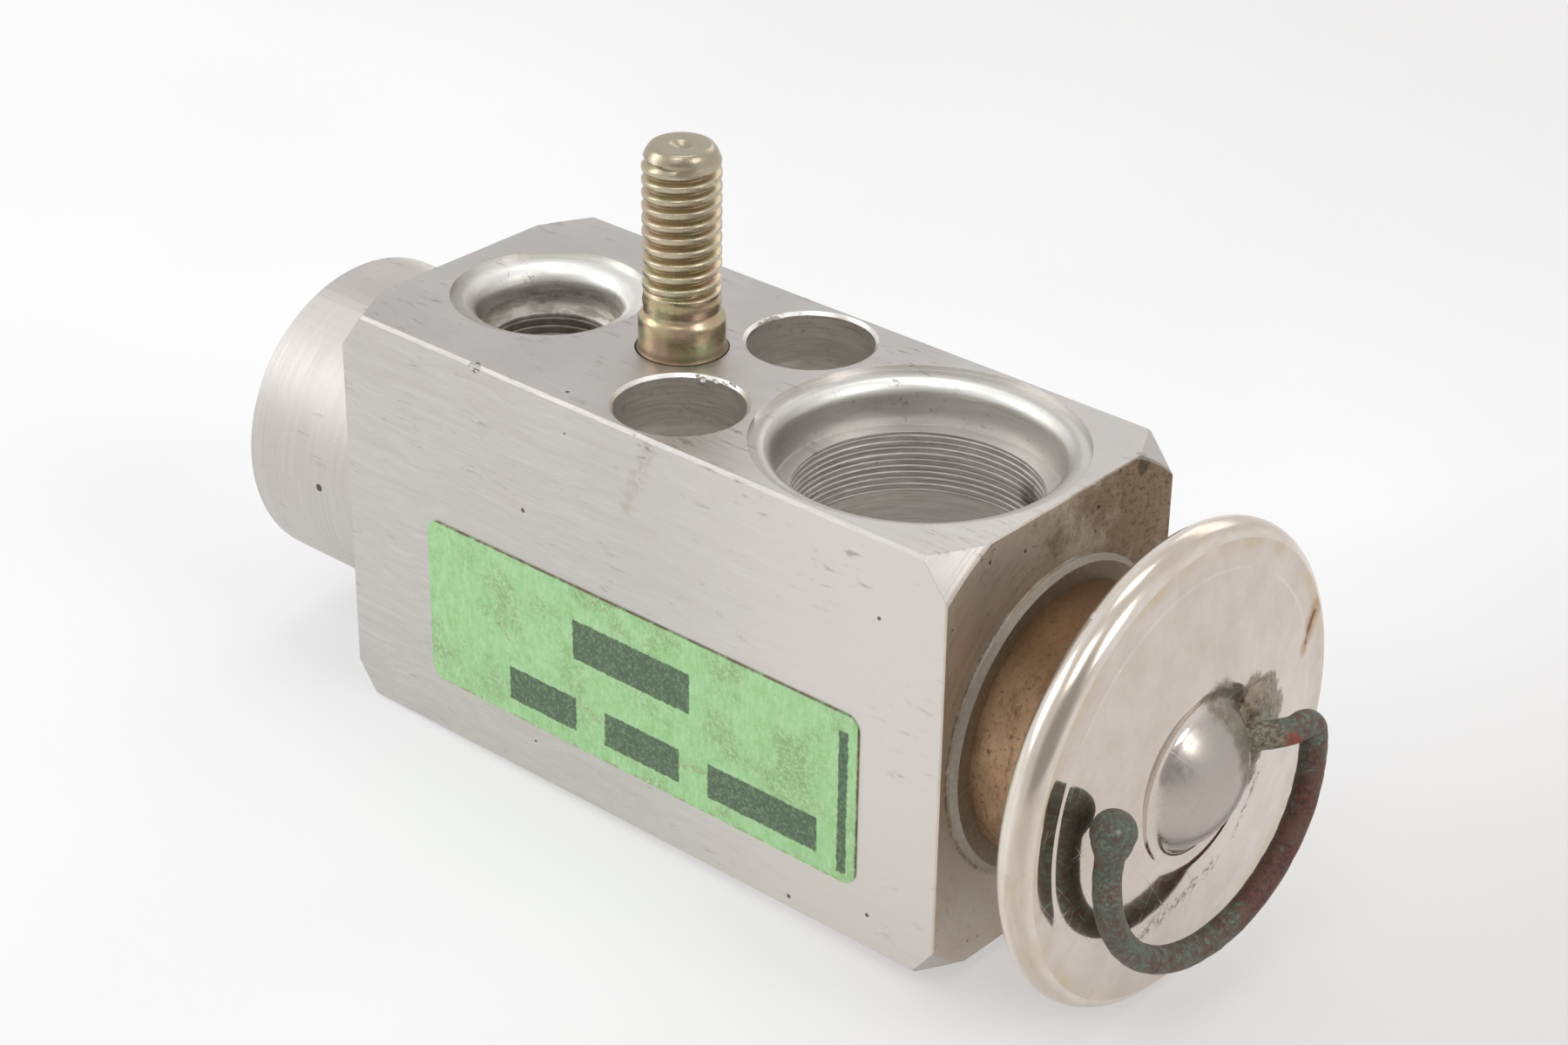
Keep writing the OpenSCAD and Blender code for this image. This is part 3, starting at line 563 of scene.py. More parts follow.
def block_material():
    look = Look("worn_aluminium")
    nx, ny, nz = look.outward()
    boss = look.x.ramp(-END_X + 0.05, -END_X - 0.05)
    end = look.x.ramp(END_X - 0.3, END_X - 0.1)
    radius, angle = look.turned()
    cut = look.most(boss, abs(nx).ramp(0.3, 0.5))
    # Ports and screw holes are turned about upright axes
    round_holes = [look.upright(x, y).ramp(r - 0.05, r + 0.05, 1.0, 0.0) for x, y, r in HOLES]
    holes = look.most(*round_holes)
    upright = abs(nz).ramp(0.985, 0.995, 1.0, 0.0)
    below_top = look.z.ramp(BLOCK_H - 0.05, BLOCK_H - 0.2)
    above_bottom = look.z.ramp(0.03, 0.1)
    in_hole = holes * look.most(upright, below_top) * above_bottom
    grain, broad = block_grain(look, in_hole, cut, angle, radius)
    cloud = look.mottle(0.12, 3.0)
    fine = look.mottle(2.2, 5.0, 0.7)
    look.tone = look.shades(grain.ramp(0.25, 0.75), (199, 195, 191), (215, 212, 208))
    look.paint(broad.ramp(0.3, 0.7) * 0.35, 192, 187, 182)
    look.paint(cloud.ramp(0.35, 0.7) * 0.2, 196, 189, 180)
    # Painted light: the boss is lighter on top, and the front face lighter towards the head
    look.paint(boss * nz.ramp(0.75, 0.95) * 0.8, 222, 216, 210)
    look.paint(ny.ramp(-0.9, -0.98) * look.x.ramp(-4.0, 24.0) * 0.8, 224, 219, 212)
    # Painted shade: the top face is darker, but for its strip in front of the suction port
    on_face = nz.ramp(0.9, 0.98) * (1.0 - in_hole)
    top_painted_shade = on_face * look.most(look.x.ramp(16.0, 2.0), look.y.ramp(-3.0, 5.0))
    look.paint(top_painted_shade * cloud.ramp(0.3, 0.7, 0.5, 0.8), 183, 179, 176)
    screws = abs(look.x - SCREW_X).ramp(5.2, 5.0)
    # Painted light: the deep parts of the holes get a brighter tone, against their shade
    deep = look.most(look.z.ramp(BLOCK_H - 3.6, BLOCK_H - 4.0), screws)
    bright = look.shades(grain.ramp(0.3, 0.7), (226, 222, 216), (242, 239, 234))
    # Painted highlight and shade: the far side of the ports is lighter than the near one
    lit_far_side = []
    for px, r, turn in ((SUCTION_X, 12.0, -0.4), (INLET_X, 7.5, -0.6), (OUTLET_X, 7.5, -0.6)):
        off = look.x - px
        here = abs(off).ramp(r, r + 0.5, 1.0, 0.0)
        far_side = look.y * 0.95 + off * turn
        lit_far_side.append(here * far_side.ramp(r * -0.1, r * 0.75))
    ledge = look.shades(look.most(*lit_far_side), (160, 156, 148), (242, 241, 237))
    look.paint(in_hole, look.mix(deep, ledge, bright))
    flats = in_hole * nz.ramp(0.85, 0.97) * look.z.ramp(BLOCK_H - 4.4, BLOCK_H - 4.1)
    look.paint(flats * look.x.ramp(-9.0, -7.0, 0.3, 0.8), 190, 186, 181)
    port_stains(look)
    dirty = end_dirt_and_shade(look, end, radius)
    marks = block_marks(look, end)
    look.paint(marks * 0.85, 58, 50, 44)
    look.paint(scuffs(look) * 0.75, 118, 112, 106)
    smudge = look.streak((2.4, FRONT_Y, 32.0), (0.2, FRONT_Y, 27.1), 0.15, 0.9, 1.0, 1.4)
    look.paint(smudge * fine.ramp(0.35, 0.6) * 0.3, 150, 148, 118)
    # Torn metal at the nick in the top edge
    nick = look.spot((-14.8, FRONT_Y, BLOCK_H - 0.1), 0.45, 0.15, 0.25, 2.0)
    torn = look.mottle(3.2, 4.0, 0.7)
    look.paint(nick, look.shades(torn.ramp(0.4, 0.6), (96, 88, 80), (240, 238, 234)))
    # The broken long edges are rubbed dull, more in some places than others
    plain = (1.0 - boss) * (1.0 - holes)
    slope = abs(ny * nz).ramp(0.4, 0.47) * plain
    rubbing = look.stretched(0.25, 1, 1, 1.0, 3.0, 0.6)
    look.paint(slope * rubbing.ramp(0.35, 0.6, 0.3, 0.9), 198, 195, 191)
    walls = in_hole * look.z.ramp(BLOCK_H - 3.6, BLOCK_H - 4.2)
    screw_walls = screws * in_hole
    rough = grain.ramp(0.2, 0.8, 0.34, 0.5) + dirty * 0.2 + boss * 0.13
    rough = rough + slope * 0.12 + walls * 0.22 + screw_walls * -0.08
    rough += in_hole * cloud.ramp(0.3, 0.7, -0.03, 0.03)
    # The cut corners at the head's end are duller
    corner = look.x.ramp(20.0, 22.0) * nx.inside(0.3, 0.9, 0.05) * plain
    look.paint(corner * 0.4, 184, 180, 175)
    rough += corner * 0.05
    height = grain + broad * 0.8 + fine * 0.25 + nick * torn * 12.0 - marks * 3.0
    look.surface(1.0, rough, height, 0.010, look.rounded(0.06))
    look.give("valve_block")


block_material()


# Other CAD nodes
def plain_look(name, light, dark, rough, scale, nodes=(), metallic=1.0, depth=0.006):
    """A mottled tone and a fine grain, for CAD nodes or for a piece."""
    look = Look(name)
    cloud = look.mottle(scale * 0.3, 4.0)
    grain = look.mottle(scale, 5.0, 0.7)
    look.tone = look.mix(cloud.ramp(0.3, 0.7), light, dark)
    look.surface(metallic, grain.ramp(0.2, 0.8, rough - 0.06, rough + 0.08), grain, depth)
    look.give(*nodes)
    return look


# The label's printed bars: x from and to, z from and to
BARS = (
    (-11.9, -5.1, 6.2, 8.9), (-2.1, 5.2, 6.2, 8.9), (8.1, 18.3, 6.2, 8.9), (-5.2, 6.2, 12.4, 15.6),
    (20.25, 20.95, 5.5, 17.0),
)


def label_material():
    look = Look("printed_label")
    mottle = look.mottle(0.8, 6.0, 0.75)
    fibres = look.stretched(2.6, 1, 0.8, 1.0, 5.0, 0.75)
    specks = look.mottle(3.2, 4.0, 0.8)
    stain = look.mottle(0.22, 4.0, 0.6)
    look.tone = look.shades(fibres.ramp(0.3, 0.7), (156, 205, 142), (179, 218, 165))
    look.paint(mottle.ramp(0.42, 0.72, 0.0, 0.6), 140, 190, 122)
    look.paint(stain.ramp(0.44, 0.68) * specks.ramp(0.38, 0.58) * 0.65, 138, 156, 104)
    look.paint(specks.ramp(0.6, 0.78, 0.0, 0.7), 112, 146, 94)
    pale = look.mottle(2.0, 5.0, 0.8).ramp(0.66, 0.74)
    look.paint(pale * 0.5, 204, 226, 190)
    rust = look.most(
        look.streak((5.3, -12.6, 7.7), (8.6, -12.6, 8.2), 0.05, 0.4, 0.6, 1.6),
        look.streak((-4.6, -12.6, 8.8), (-2.6, -12.6, 8.0), 0.05, 0.5, 0.7, 1.6),
        look.streak((-13.0, -12.6, 12.2), (-11.8, -12.6, 11.2), 0.0, 0.35, 0.5, 1.6),
    )
    look.paint(rust * specks.ramp(0.4, 0.6) * 0.6, 150, 126, 92)
    worn = look.mottle(3.6, 5.0, 0.7)
    wave = (look.mottle(2.6, 4.0) - 0.5) * 0.35
    x = look.x + wave
    z = look.z + wave
    bars = look.most(*(x.inside(x0, x1, 0.12) * z.inside(z0, z1, 0.12) for x0, x1, z0, z1 in BARS))
    look.paint(bars * worn.ramp(0.34, 0.56, 0.72, 0.97), 74, 92, 72)
    edge = look.most(look.z.ramp(18.36, 18.45), look.x.ramp(21.76, 21.85))
    look.paint(edge * mottle.ramp(0.35, 0.55, 0.4, 0.85), 92, 52, 38)
    low_edge = look.z.ramp(5.0, 4.72) * mottle.ramp(0.45, 0.6)
    look.paint(low_edge * 0.5, 138, 120, 84)
    look.surface(0.0, mottle.ramp(0.3, 0.7, 0.42, 0.6), specks, 0.02)
    look.give("label")


label_material()

for name, light, dark, rough, scale, nodes in (
    ("train_steel_look", (190, 190, 192), (160, 160, 164), 0.32, 1.5,
     ("pusher_plate", "rod_seal_clip", "damping_ring", "push_pin")),
    ("rod_look", (205, 203, 200), (180, 178, 176), 0.35, 1.5, ("sensing_rod", "spring_seat")),
    ("brass_look", (205, 178, 112), (178, 148, 90), 0.35, 1.5, ("adjusting_screw", "ball_carrier")),
    ("diaphragm_look", (200, 196, 188), (180, 176, 168), 0.28, 0.8, ("diaphragm",)),
):
    plain_look(name, srgb(*light), srgb(*dark), rough, scale, nodes)
ball = ("valve_ball",)
plain_look("ball_steel_look", srgb(220, 220, 224), srgb(200, 200, 206), 0.12, 1.5, ball, depth=0.001)
seals = ("hub_seal", "rod_seal", "screw_seal")
plain_look("rubber_look", (0.018, 0.018, 0.019), (0.03, 0.03, 0.03), 0.6, 2.5, seals, 0.0)


def hub_material():
    look = Look("tarnished_brass")
    lines = look.stretched(6.0, 0.12, 0.12, 1.2, 4.0, 0.6)
    cloud = look.mottle(0.3, 5.0, 0.65)
    fine = look.mottle(2.8, 4.0, 0.7)
    look.tone = look.shades(cloud.ramp(0.3, 0.7), (184, 154, 124), (160, 130, 100))
    # Painted shade: the hub is darker towards its top
    top = look.z.ramp(AXIS_Z + 5.0, AXIS_Z + 9.0)
    look.paint(top * 0.8, 108, 82, 58)
    streaky = look.stretched(1.4, 0.5, 0.5, 1.0, 5.0, 0.75)
    look.paint(streaky.ramp(0.48, 0.64, 0.0, 0.6), 118, 90, 62)
    look.paint(fine.ramp(0.56, 0.68, 0.0, 0.7), 88, 66, 46)
    glints = look.mottle(3.4, 3.0, 0.6).ramp(0.7, 0.76)
    look.paint(glints * 0.6, 226, 200, 160)
    scratch = look.streak((33.4, -7.0, AXIS_Z + 7.2), (34.9, -6.4, AXIS_Z + 7.8), 0.03, 0.12)
    look.paint(scratch, 240, 196, 110)
    look.surface(0.85, fine.ramp(0.3, 0.7, 0.4, 0.54), lines + fine * 0.6, 0.008)
    look.give("head_hub")


hub_material()


# Power head
def base_material():
    look = Look("base_steel")
    cloud = look.mottle(0.15, 3.0)
    grain = look.mottle(3.0, 5.0, 0.7)
    look.tone = look.shades(cloud.ramp(0.3, 0.7), (218, 208, 199), (210, 199, 189))
    look.surface(1.0, grain.ramp(0.2, 0.8, 0.18, 0.24), grain, 0.0012)
    look.give("head_base")


base_material()


# Detailed pieces
def build_cover():
    """The polished cover: dome, smooth foot, cone, fine step and flange, with its thin back."""
    centre = DOME_MIDDLE_X
    foot_x = DOME_FOOT_X - DOME_GROOVE_DEPTH
    full = math.degrees(math.asin(DOME_R / DOME_BALL_R))
    profile = [(centre + DOME_BALL_R, 0.001)]
    profile += arc((centre, 0), DOME_BALL_R, 2, full - 3, 26)
    slope = (DOME_FOOT_X - COVER_FRONT_X - STEP_H) / (CONE_END_R - CONE_START_R)
    # One smooth curve from the dome through its groove to the cone
    curve_end_r = CONE_START_R + 0.5
    start = Vector(profile[-1])
    low = Vector((foot_x, DOME_R + 0.15))
    middle = Vector((foot_x + 0.02, DOME_GROOVE_R - 0.05))
    last = Vector((DOME_FOOT_X - 0.5 * slope, curve_end_r))
    for t in even_steps(16):
        a = start.lerp(low, t)
        b = low.lerp(middle, t)
        c = middle.lerp(last, t)
        profile.append(tuple(a.lerp(b, t).lerp(b.lerp(c, t), t)))
    for t in even_steps(12):
        r = curve_end_r + (CONE_END_R - curve_end_r) * t
        profile.append((COVER_FRONT_X + STEP_H + (CONE_END_R - r) * slope, r))
    step_width = 0.3
    for t in even_steps(6):
        profile.append((COVER_FRONT_X + STEP_H * (1 - ease(t)), CONE_END_R + step_width * t))
    for r in (15.2, 15.7, 16.2, 16.55):
        profile.append((COVER_FRONT_X, r))
    profile += [(COVER_FRONT_X - 0.04, SHELL_R), (COVER_BACK_X, SHELL_R), (COVER_BACK_X, SHELL_R - 2.2)]
    hollow = foot_x - COVER_WALL
    inner_r = DOME_R - COVER_WALL
    profile += [(hollow, DOME_R), (hollow, inner_r)]
    inner = DOME_BALL_R - COVER_WALL
    profile += arc((centre, 0), inner, math.degrees(math.asin(inner_r / inner)) - 6, 2, 8)
    profile.append((centre + inner, 0.001))
    piece = lathe("polished_cover", profile)
    smooth_by_angle(piece, 50)
    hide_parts("head_cover")
    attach(piece, "valve_body")
    return piece


def build_rim():
    """The rounded bead of the welded rim."""
    centre = (RIM_MID_X, RIM_R - RIM_W / 2)
    cut = math.degrees(math.asin((SHELL_R - centre[1]) / (RIM_W / 2)))
    profile = arc(centre, RIM_W / 2, cut, 180 - cut, 36)
    piece = lathe("rounded_rim", profile)
    smooth_by_angle(piece, 50)
    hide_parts("rim_weld")
    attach(piece, "valve_body")
    return piece


def build_stud():
    """The stud with its rolled thread."""
    pitch = 1.0
    thread_depth = 0.48
    thread_foot = 4.6
    sides = 96
    # Height above the block and radius, from the screwed-in end to the tip
    outline = [
        (-10.5, STUD_R), (0, STUD_R), (0.0, 3.36), (0.1, 3.28), (0.25, 3.2), (1.5, 3.22), (2.4, 3.2),
        (2.62, 3.14), (2.8, 2.98), (3.0, 2.84), (3.25, 2.8), (3.5, 2.86), (3.8, 2.9), (4.1, 2.86),
        (4.35, 2.8), (4.6, 2.84),
    ]
    outline += [(4.65 + 0.055 * i, 2.9) for i in range(178)]
    outline += [
        (14.4, 2.9), (14.7, 2.86), (15.0, 2.76), (15.3, 2.62), (15.55, 2.46), (15.7, 2.34), (15.78, 2.2),
        (15.8, 2.0), (15.79, 1.4), (15.8, 0.95), (15.76, 0.78), (15.62, 0.6), (15.48, 0.3), (15.44, 0.01),
    ]
    rings = []
    for h, r in outline:
        ring = []
        for j in range(sides):
            a = 2 * math.pi * j / sides
            share = (h / pitch - j / sides) % 1.0
            valley = 0.5 + 0.5 * math.cos(2 * math.pi * share)
            fade = min(max((h - 4.5) / 0.5, 0), 1) * min(max((15.5 - h) / 0.9, 0), 1)
            wear = 0.05 * noise.noise(Vector((math.cos(a) * 1.3, math.sin(a) * 1.3, h * 1.1)))
            deep = STUD_R - fade * (thread_depth * valley ** 1.7 + wear)
            radius = min(r, deep) if h > thread_foot else r
            ring.append((STUD_X + radius * math.cos(a), radius * math.sin(a), BLOCK_H + h))
        rings.append(ring)
    piece = new_mesh("threaded_stud", *skin(rings))
    smooth_by_angle(piece, 60)
    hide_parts("mounting_stud")
    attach(piece, "valve_body")
    return piece


# Route of the charge tube, in the plane of its loop as in part.scad
TUBE_R = 1.0
LOOP_R = 10.7
LOOP_MIDDLE = (43.3, -1.2, AXIS_Z - 1.4)
LOOP_LEAN = math.radians(4.6)
LOOP_START = 10.5
LOOP_ANGLE = 197.0
BEND_R = 1.45
BEND_TURN = 86.5
BEAD_R = 1.6
BEAD_TAPER = 1.4
BEAD_START = 26.0
ROOT_Y = 4.0
ROOT_DEPTH = 2.1
ROOT_CURVE = 0.4
BEND_END = LOOP_START + BEND_TURN


def on_loop(local):
    """A place in the loop's plane turned to the row frame."""
    a, b, c = local
    across = a * math.cos(LOOP_LEAN) - c * math.sin(LOOP_LEAN)
    out = a * math.sin(LOOP_LEAN) + c * math.cos(LOOP_LEAN)
    return Vector((LOOP_MIDDLE[0] + out, LOOP_MIDDLE[1] + across, LOOP_MIDDLE[2] + b))


def turned_to(angle, radius):
    a = math.radians(angle)
    return Vector((radius * math.cos(a), radius * math.sin(a), 0))


def tube_stations():
    """Places and radii along the tube, from its root to the end of its bead."""
    middle = turned_to(LOOP_START, LOOP_R - BEND_R)
    bend_end = middle + turned_to(BEND_END, BEND_R)
    heading = Vector((math.sin(math.radians(BEND_END)), -math.cos(math.radians(BEND_END)), 0))
    run = (bend_end.x + LOOP_MIDDLE[1] - ROOT_Y) / heading.x
    stations = []
    for t in (0, *even_steps(14)):
        share = 1 - t
        fall = share * share / (2 * ROOT_CURVE) if share < ROOT_CURVE else share - ROOT_CURVE / 2
        drop = ROOT_DEPTH / (1 - ROOT_CURVE / 2) * fall
        stations.append((bend_end - heading * (share * run) - Vector((0, 0, drop)), TUBE_R))
    for t in even_steps(16):
        stations.append((middle + turned_to(BEND_END - t * BEND_TURN, BEND_R), TUBE_R))
    for t in even_steps(96):
        stations.append((turned_to(LOOP_START - t * LOOP_ANGLE, LOOP_R), TUBE_R))
    last = stations[-1][0]
    along = turned_to(LOOP_START - LOOP_ANGLE - 90, 1)
    neck = BEAD_R * math.cos(math.radians(BEAD_START))
    for t in even_steps(6)[:-1]:
        reach = BEAD_TAPER * t
        stations.append((last + along * reach, TUBE_R + (neck - TUBE_R) * ease(t)))
    for t in (0, *even_steps(14)):
        a = math.radians(-BEAD_START + t * (90 + BEAD_START - 3))
        reach = BEAD_TAPER + BEAD_R * (math.sin(a) + math.sin(math.radians(BEAD_START)))
        stations.append((last + along * reach, BEAD_R * math.cos(a)))
    return stations


def build_tube():
    """The corroded charge tube: one smooth skin along its route, with a rough surface."""
    stations = tube_stations()
    sides = 32
    rings = []
    count = len(stations)
    for i, (place, r) in enumerate(stations):
        before = stations[max(i - 1, 0)][0]
        after = stations[min(i + 1, count - 1)][0]
        direction = (after - before).normalized()
        across = direction.cross(Vector((0, 0, 1))).normalized()
        up = across.cross(direction)
        ring = []
        for j in range(sides):
            a = 2 * math.pi * j / sides
            out = across * math.cos(a) + up * math.sin(a)
            spot = on_loop(place + out * r)
            rough = 0.035 * noise.noise(spot * 1.3) + 0.02 * noise.noise(spot * 4.0) - 0.02
            ring.append(on_loop(place + out * (r + rough * min(r / TUBE_R, 1))))
        rings.append(ring)
    piece = new_mesh("bent_charge_tube", *skin(rings))
    smooth_by_angle(piece, 70)
    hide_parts("charge_tube")
    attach(piece, "valve_body")
    return piece


def cover_surface(y, z):
    """Height x of the cover's outer face at a place."""
    r = math.hypot(y, z - AXIS_Z)
    if r < DOME_R + 0.1:
        return DOME_MIDDLE_X + math.sqrt(max(DOME_BALL_R ** 2 - r * r, 0))
    if r < CONE_START_R:
        return DOME_FOOT_X - DOME_GROOVE_DEPTH * 0.6
    share = min((r - CONE_START_R) / (CONE_END_R - CONE_START_R), 1)
    return DOME_FOOT_X + (COVER_FRONT_X + STEP_H - DOME_FOOT_X) * share


def build_solder():
    """A rough lump of solder round the tube's root, thinning out beside the dome."""
    # Each heap: y, z, spread and height
    heaps = (
        (6.2, AXIS_Z + 0.9, 1.9, 1.1), (6.4, AXIS_Z + 2.6, 2.2, 0.4), (7.6, AXIS_Z + 1.6, 1.9, 0.3),
        (6.3, AXIS_Z - 1.2, 1.3, 0.35), (5.5, AXIS_Z + 3.6, 1.3, 0.22),
    )
    step = 0.14
    columns, rows = 60, 84
    low_y, low_z = 2.4, AXIS_Z - 3.6
    thinnest = 0.03
    grid = {}
    for i in range(columns):
        for j in range(rows):
            y = low_y + i * step
            z = low_z + j * step
            height = 0.0
            for hy, hz, spread, top in heaps:
                uneven = 1 + 0.22 * noise.noise(Vector((y * 0.9, z * 0.9, hy)))
                far = math.hypot(y - hy, z - hz) / (spread * uneven)
                height = max(height, top * max(1 - far * far, 0))
            height += 0.1 * noise.noise(Vector((y * 1.7, z * 1.7, 4.0))) * min(height * 3, 1)
            if height > thinnest:
                grid[i, j] = (cover_surface(y, z) + height, y, z)
    points = []
    number = {}
    for key, place in grid.items():
        number[key] = len(points)
        points.append(place)
    offset = len(points)
    for x, y, z in grid.values():
        points.append((min(cover_surface(y, z) - 0.12, x - 0.1), y, z))
    faces = []
    borders = {}
    for (i, j) in grid:
        corners = [(i, j), (i + 1, j), (i + 1, j + 1), (i, j + 1)]
        if all(c in grid for c in corners):
            ids = [number[c] for c in corners]
            faces.append(tuple(ids))
            faces.append(tuple(offset + n for n in reversed(ids)))
            for k in range(4):
                edge = (ids[k], ids[(k + 1) % 4])
                if (edge[1], edge[0]) in borders:
                    del borders[(edge[1], edge[0])]
                else:
                    borders[edge] = True
    for a, b in borders:
        faces.append((b, a, offset + a, offset + b))
    piece = new_mesh("solder_lump", points, faces)
    smooth_by_angle(piece, 60)
    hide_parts("tube_solder")
    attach(piece, "valve_body")
    return piece


def build_spring():
    """The coil spring as two lengths that meet half way."""
    seat_x, last_x, middle_x = -33.0, -21.456, -27.2
    coil_r, wire_r, turns = 4.0, 0.55, 6
    end_coils = 4 * wire_r
    length = last_x - seat_x
    steps = (turns + 2) * 36
    places = []
    for i in range(steps + 1):
        turn = (turns + 2) * i / steps
        climb = min(max(turn - 1, 0), turns) / turns
        ends = min(turn, 1) + min(max(turn - turns - 1, 0), 1)
        x = seat_x + wire_r + ends * 2 * wire_r + climb * (length - 6 * wire_r)
        a = 2 * math.pi * turn
        places.append(Vector((x, coil_r * math.sin(a), AXIS_Z - coil_r * math.cos(a))))
    half = len(places) // 2
    thin = wire_r * 0.96
    pieces = []
    halves = (
        ("spring_seat_half", places[: half + 1], "spring_seat", "valve_body", seat_x + end_coils, middle_x),
        ("spring_train_half", places[half:], "valve_body", "valve_train", middle_x, last_x - end_coils),
    )
    for name, route, first, second, start, finish in halves:
        rings = []
        for i, place in enumerate(route):
            direction = (route[min(i + 1, len(route) - 1)] - route[max(i - 1, 0)]).normalized()
            out = Vector((0, place.y, place.z - AXIS_Z)).normalized()
            side = direction.cross(out).normalized()
            ring = []
            for k in range(12):
                a = k * math.pi / 6
                ring.append(place + out * thin * math.cos(a) + side * thin * math.sin(a))
            rings.append(ring)
        piece = new_mesh(name, *skin(rings))
        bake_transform(piece)
        pieces.append(piece)
    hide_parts("valve_spring")
    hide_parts("valve_spring")
    return pieces


def build_burrs():
    """Small curled chips of metal left standing at the rims of the two screw holes."""
    # Each chip: x, y, size and turn
    chips = (
        (-1.75, -3.0, 0.34, 2.6), (-1.1, -3.1, 0.5, 2.4), (-0.3, -2.72, 0.42, 2.9), (0.9, -2.3, 0.36, 3.0),
        (0.2, -2.45, 0.26, 2.7), (-4.0, 7.9, 0.62, 1.2), (-4.3, 7.2, 0.4, 1.6),
    )
    points = []
    faces = []
    for n, (x, y, size, turn) in enumerate(chips):
        along = Vector((math.cos(turn), math.sin(turn), 0))
        side = Vector((-along.y, along.x, 0))
        rings = []
        for i in range(7):
            t = i / 6
            wide = size * (0.12 + 0.34 * math.sin(math.pi * min(t + 0.12, 1)))
            lift = 0.3 * size * math.sin(math.pi * t) + 0.12 * noise.noise(Vector((n, t * 3, 0)))
            middle = Vector((x, y, BLOCK_H - 0.03 + lift)) + along * (size * (t - 0.5) * 1.7)
            ring = []
            for k in range(8):
                a = 2 * math.pi * k / 8
                rough = 1 + 0.5 * noise.noise(Vector((n * 3.1, i * 0.9, k * 0.9)))
                up = Vector((0, 0, wide * 0.3 * math.sin(a) * rough))
                ring.append(middle + side * (wide * math.cos(a) * rough) + up)
            rings.append(ring)
        chip_points, chip_faces = skin(rings)
        start = len(points)
        points += chip_points
        faces += [tuple(start + c for c in face) for face in chip_faces]
    piece = new_mesh("edge_burrs", points, faces)
    smooth_by_angle(piece, 35)
    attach(piece, "valve_body")
    return piece


# Patches of solder film on the cover: y, z and spread
FILM = ((5.8, 19.9, 1.3), (7.4, 18.6, 1.9), (8.6, 17.2, 1.5), (6.6, 15.6, 1.2), (6.3, 13.6, 0.6))
# Thinner haze of the same on the dome's side: x, y, z and spread
HAZE = (
    (41.2, 1.7, 21.4, 1.1), (42.0, 2.5, 20.4, 1.2), (42.9, 2.7, 19.2, 1.2),
    (43.2, 2.3, 18.0, 0.7), (43.4, 2.2, 16.4, 0.3),
)


def cover_film(look):
    """Where flux and solder film cover the dome's side and the cone beside it."""
    wave = look.mottle(1.3, 5.0, 0.75)
    shares = []
    for y, z, spread in FILM:
        flat = look.join(0.0, look.y, look.z)
        far = look.vector("DISTANCE", flat, (0, y, z)) + (wave - 0.5) * 1.6
        shares.append(far.ramp(spread - 0.1, spread + 0.7, 1.0, 0.0))
    return look.most(*shares)


def cover_scratches(look):
    """Fine polishing scratches in several directions."""
    scratches = []
    for turn, low in ((0.3, 0.68), (1.25, 0.69), (2.2, 0.685)):
        along = look.y * math.cos(turn) + look.z * math.sin(turn)
        across = look.z * math.cos(turn) - look.y * math.sin(turn)
        lines = look.noise(look.join(along * 0.06, across * 3.5, turn), 1.6, 2.0, 0.5)
        scratches.append(lines.ramp(low, low + 0.03))
    return look.most(*scratches)


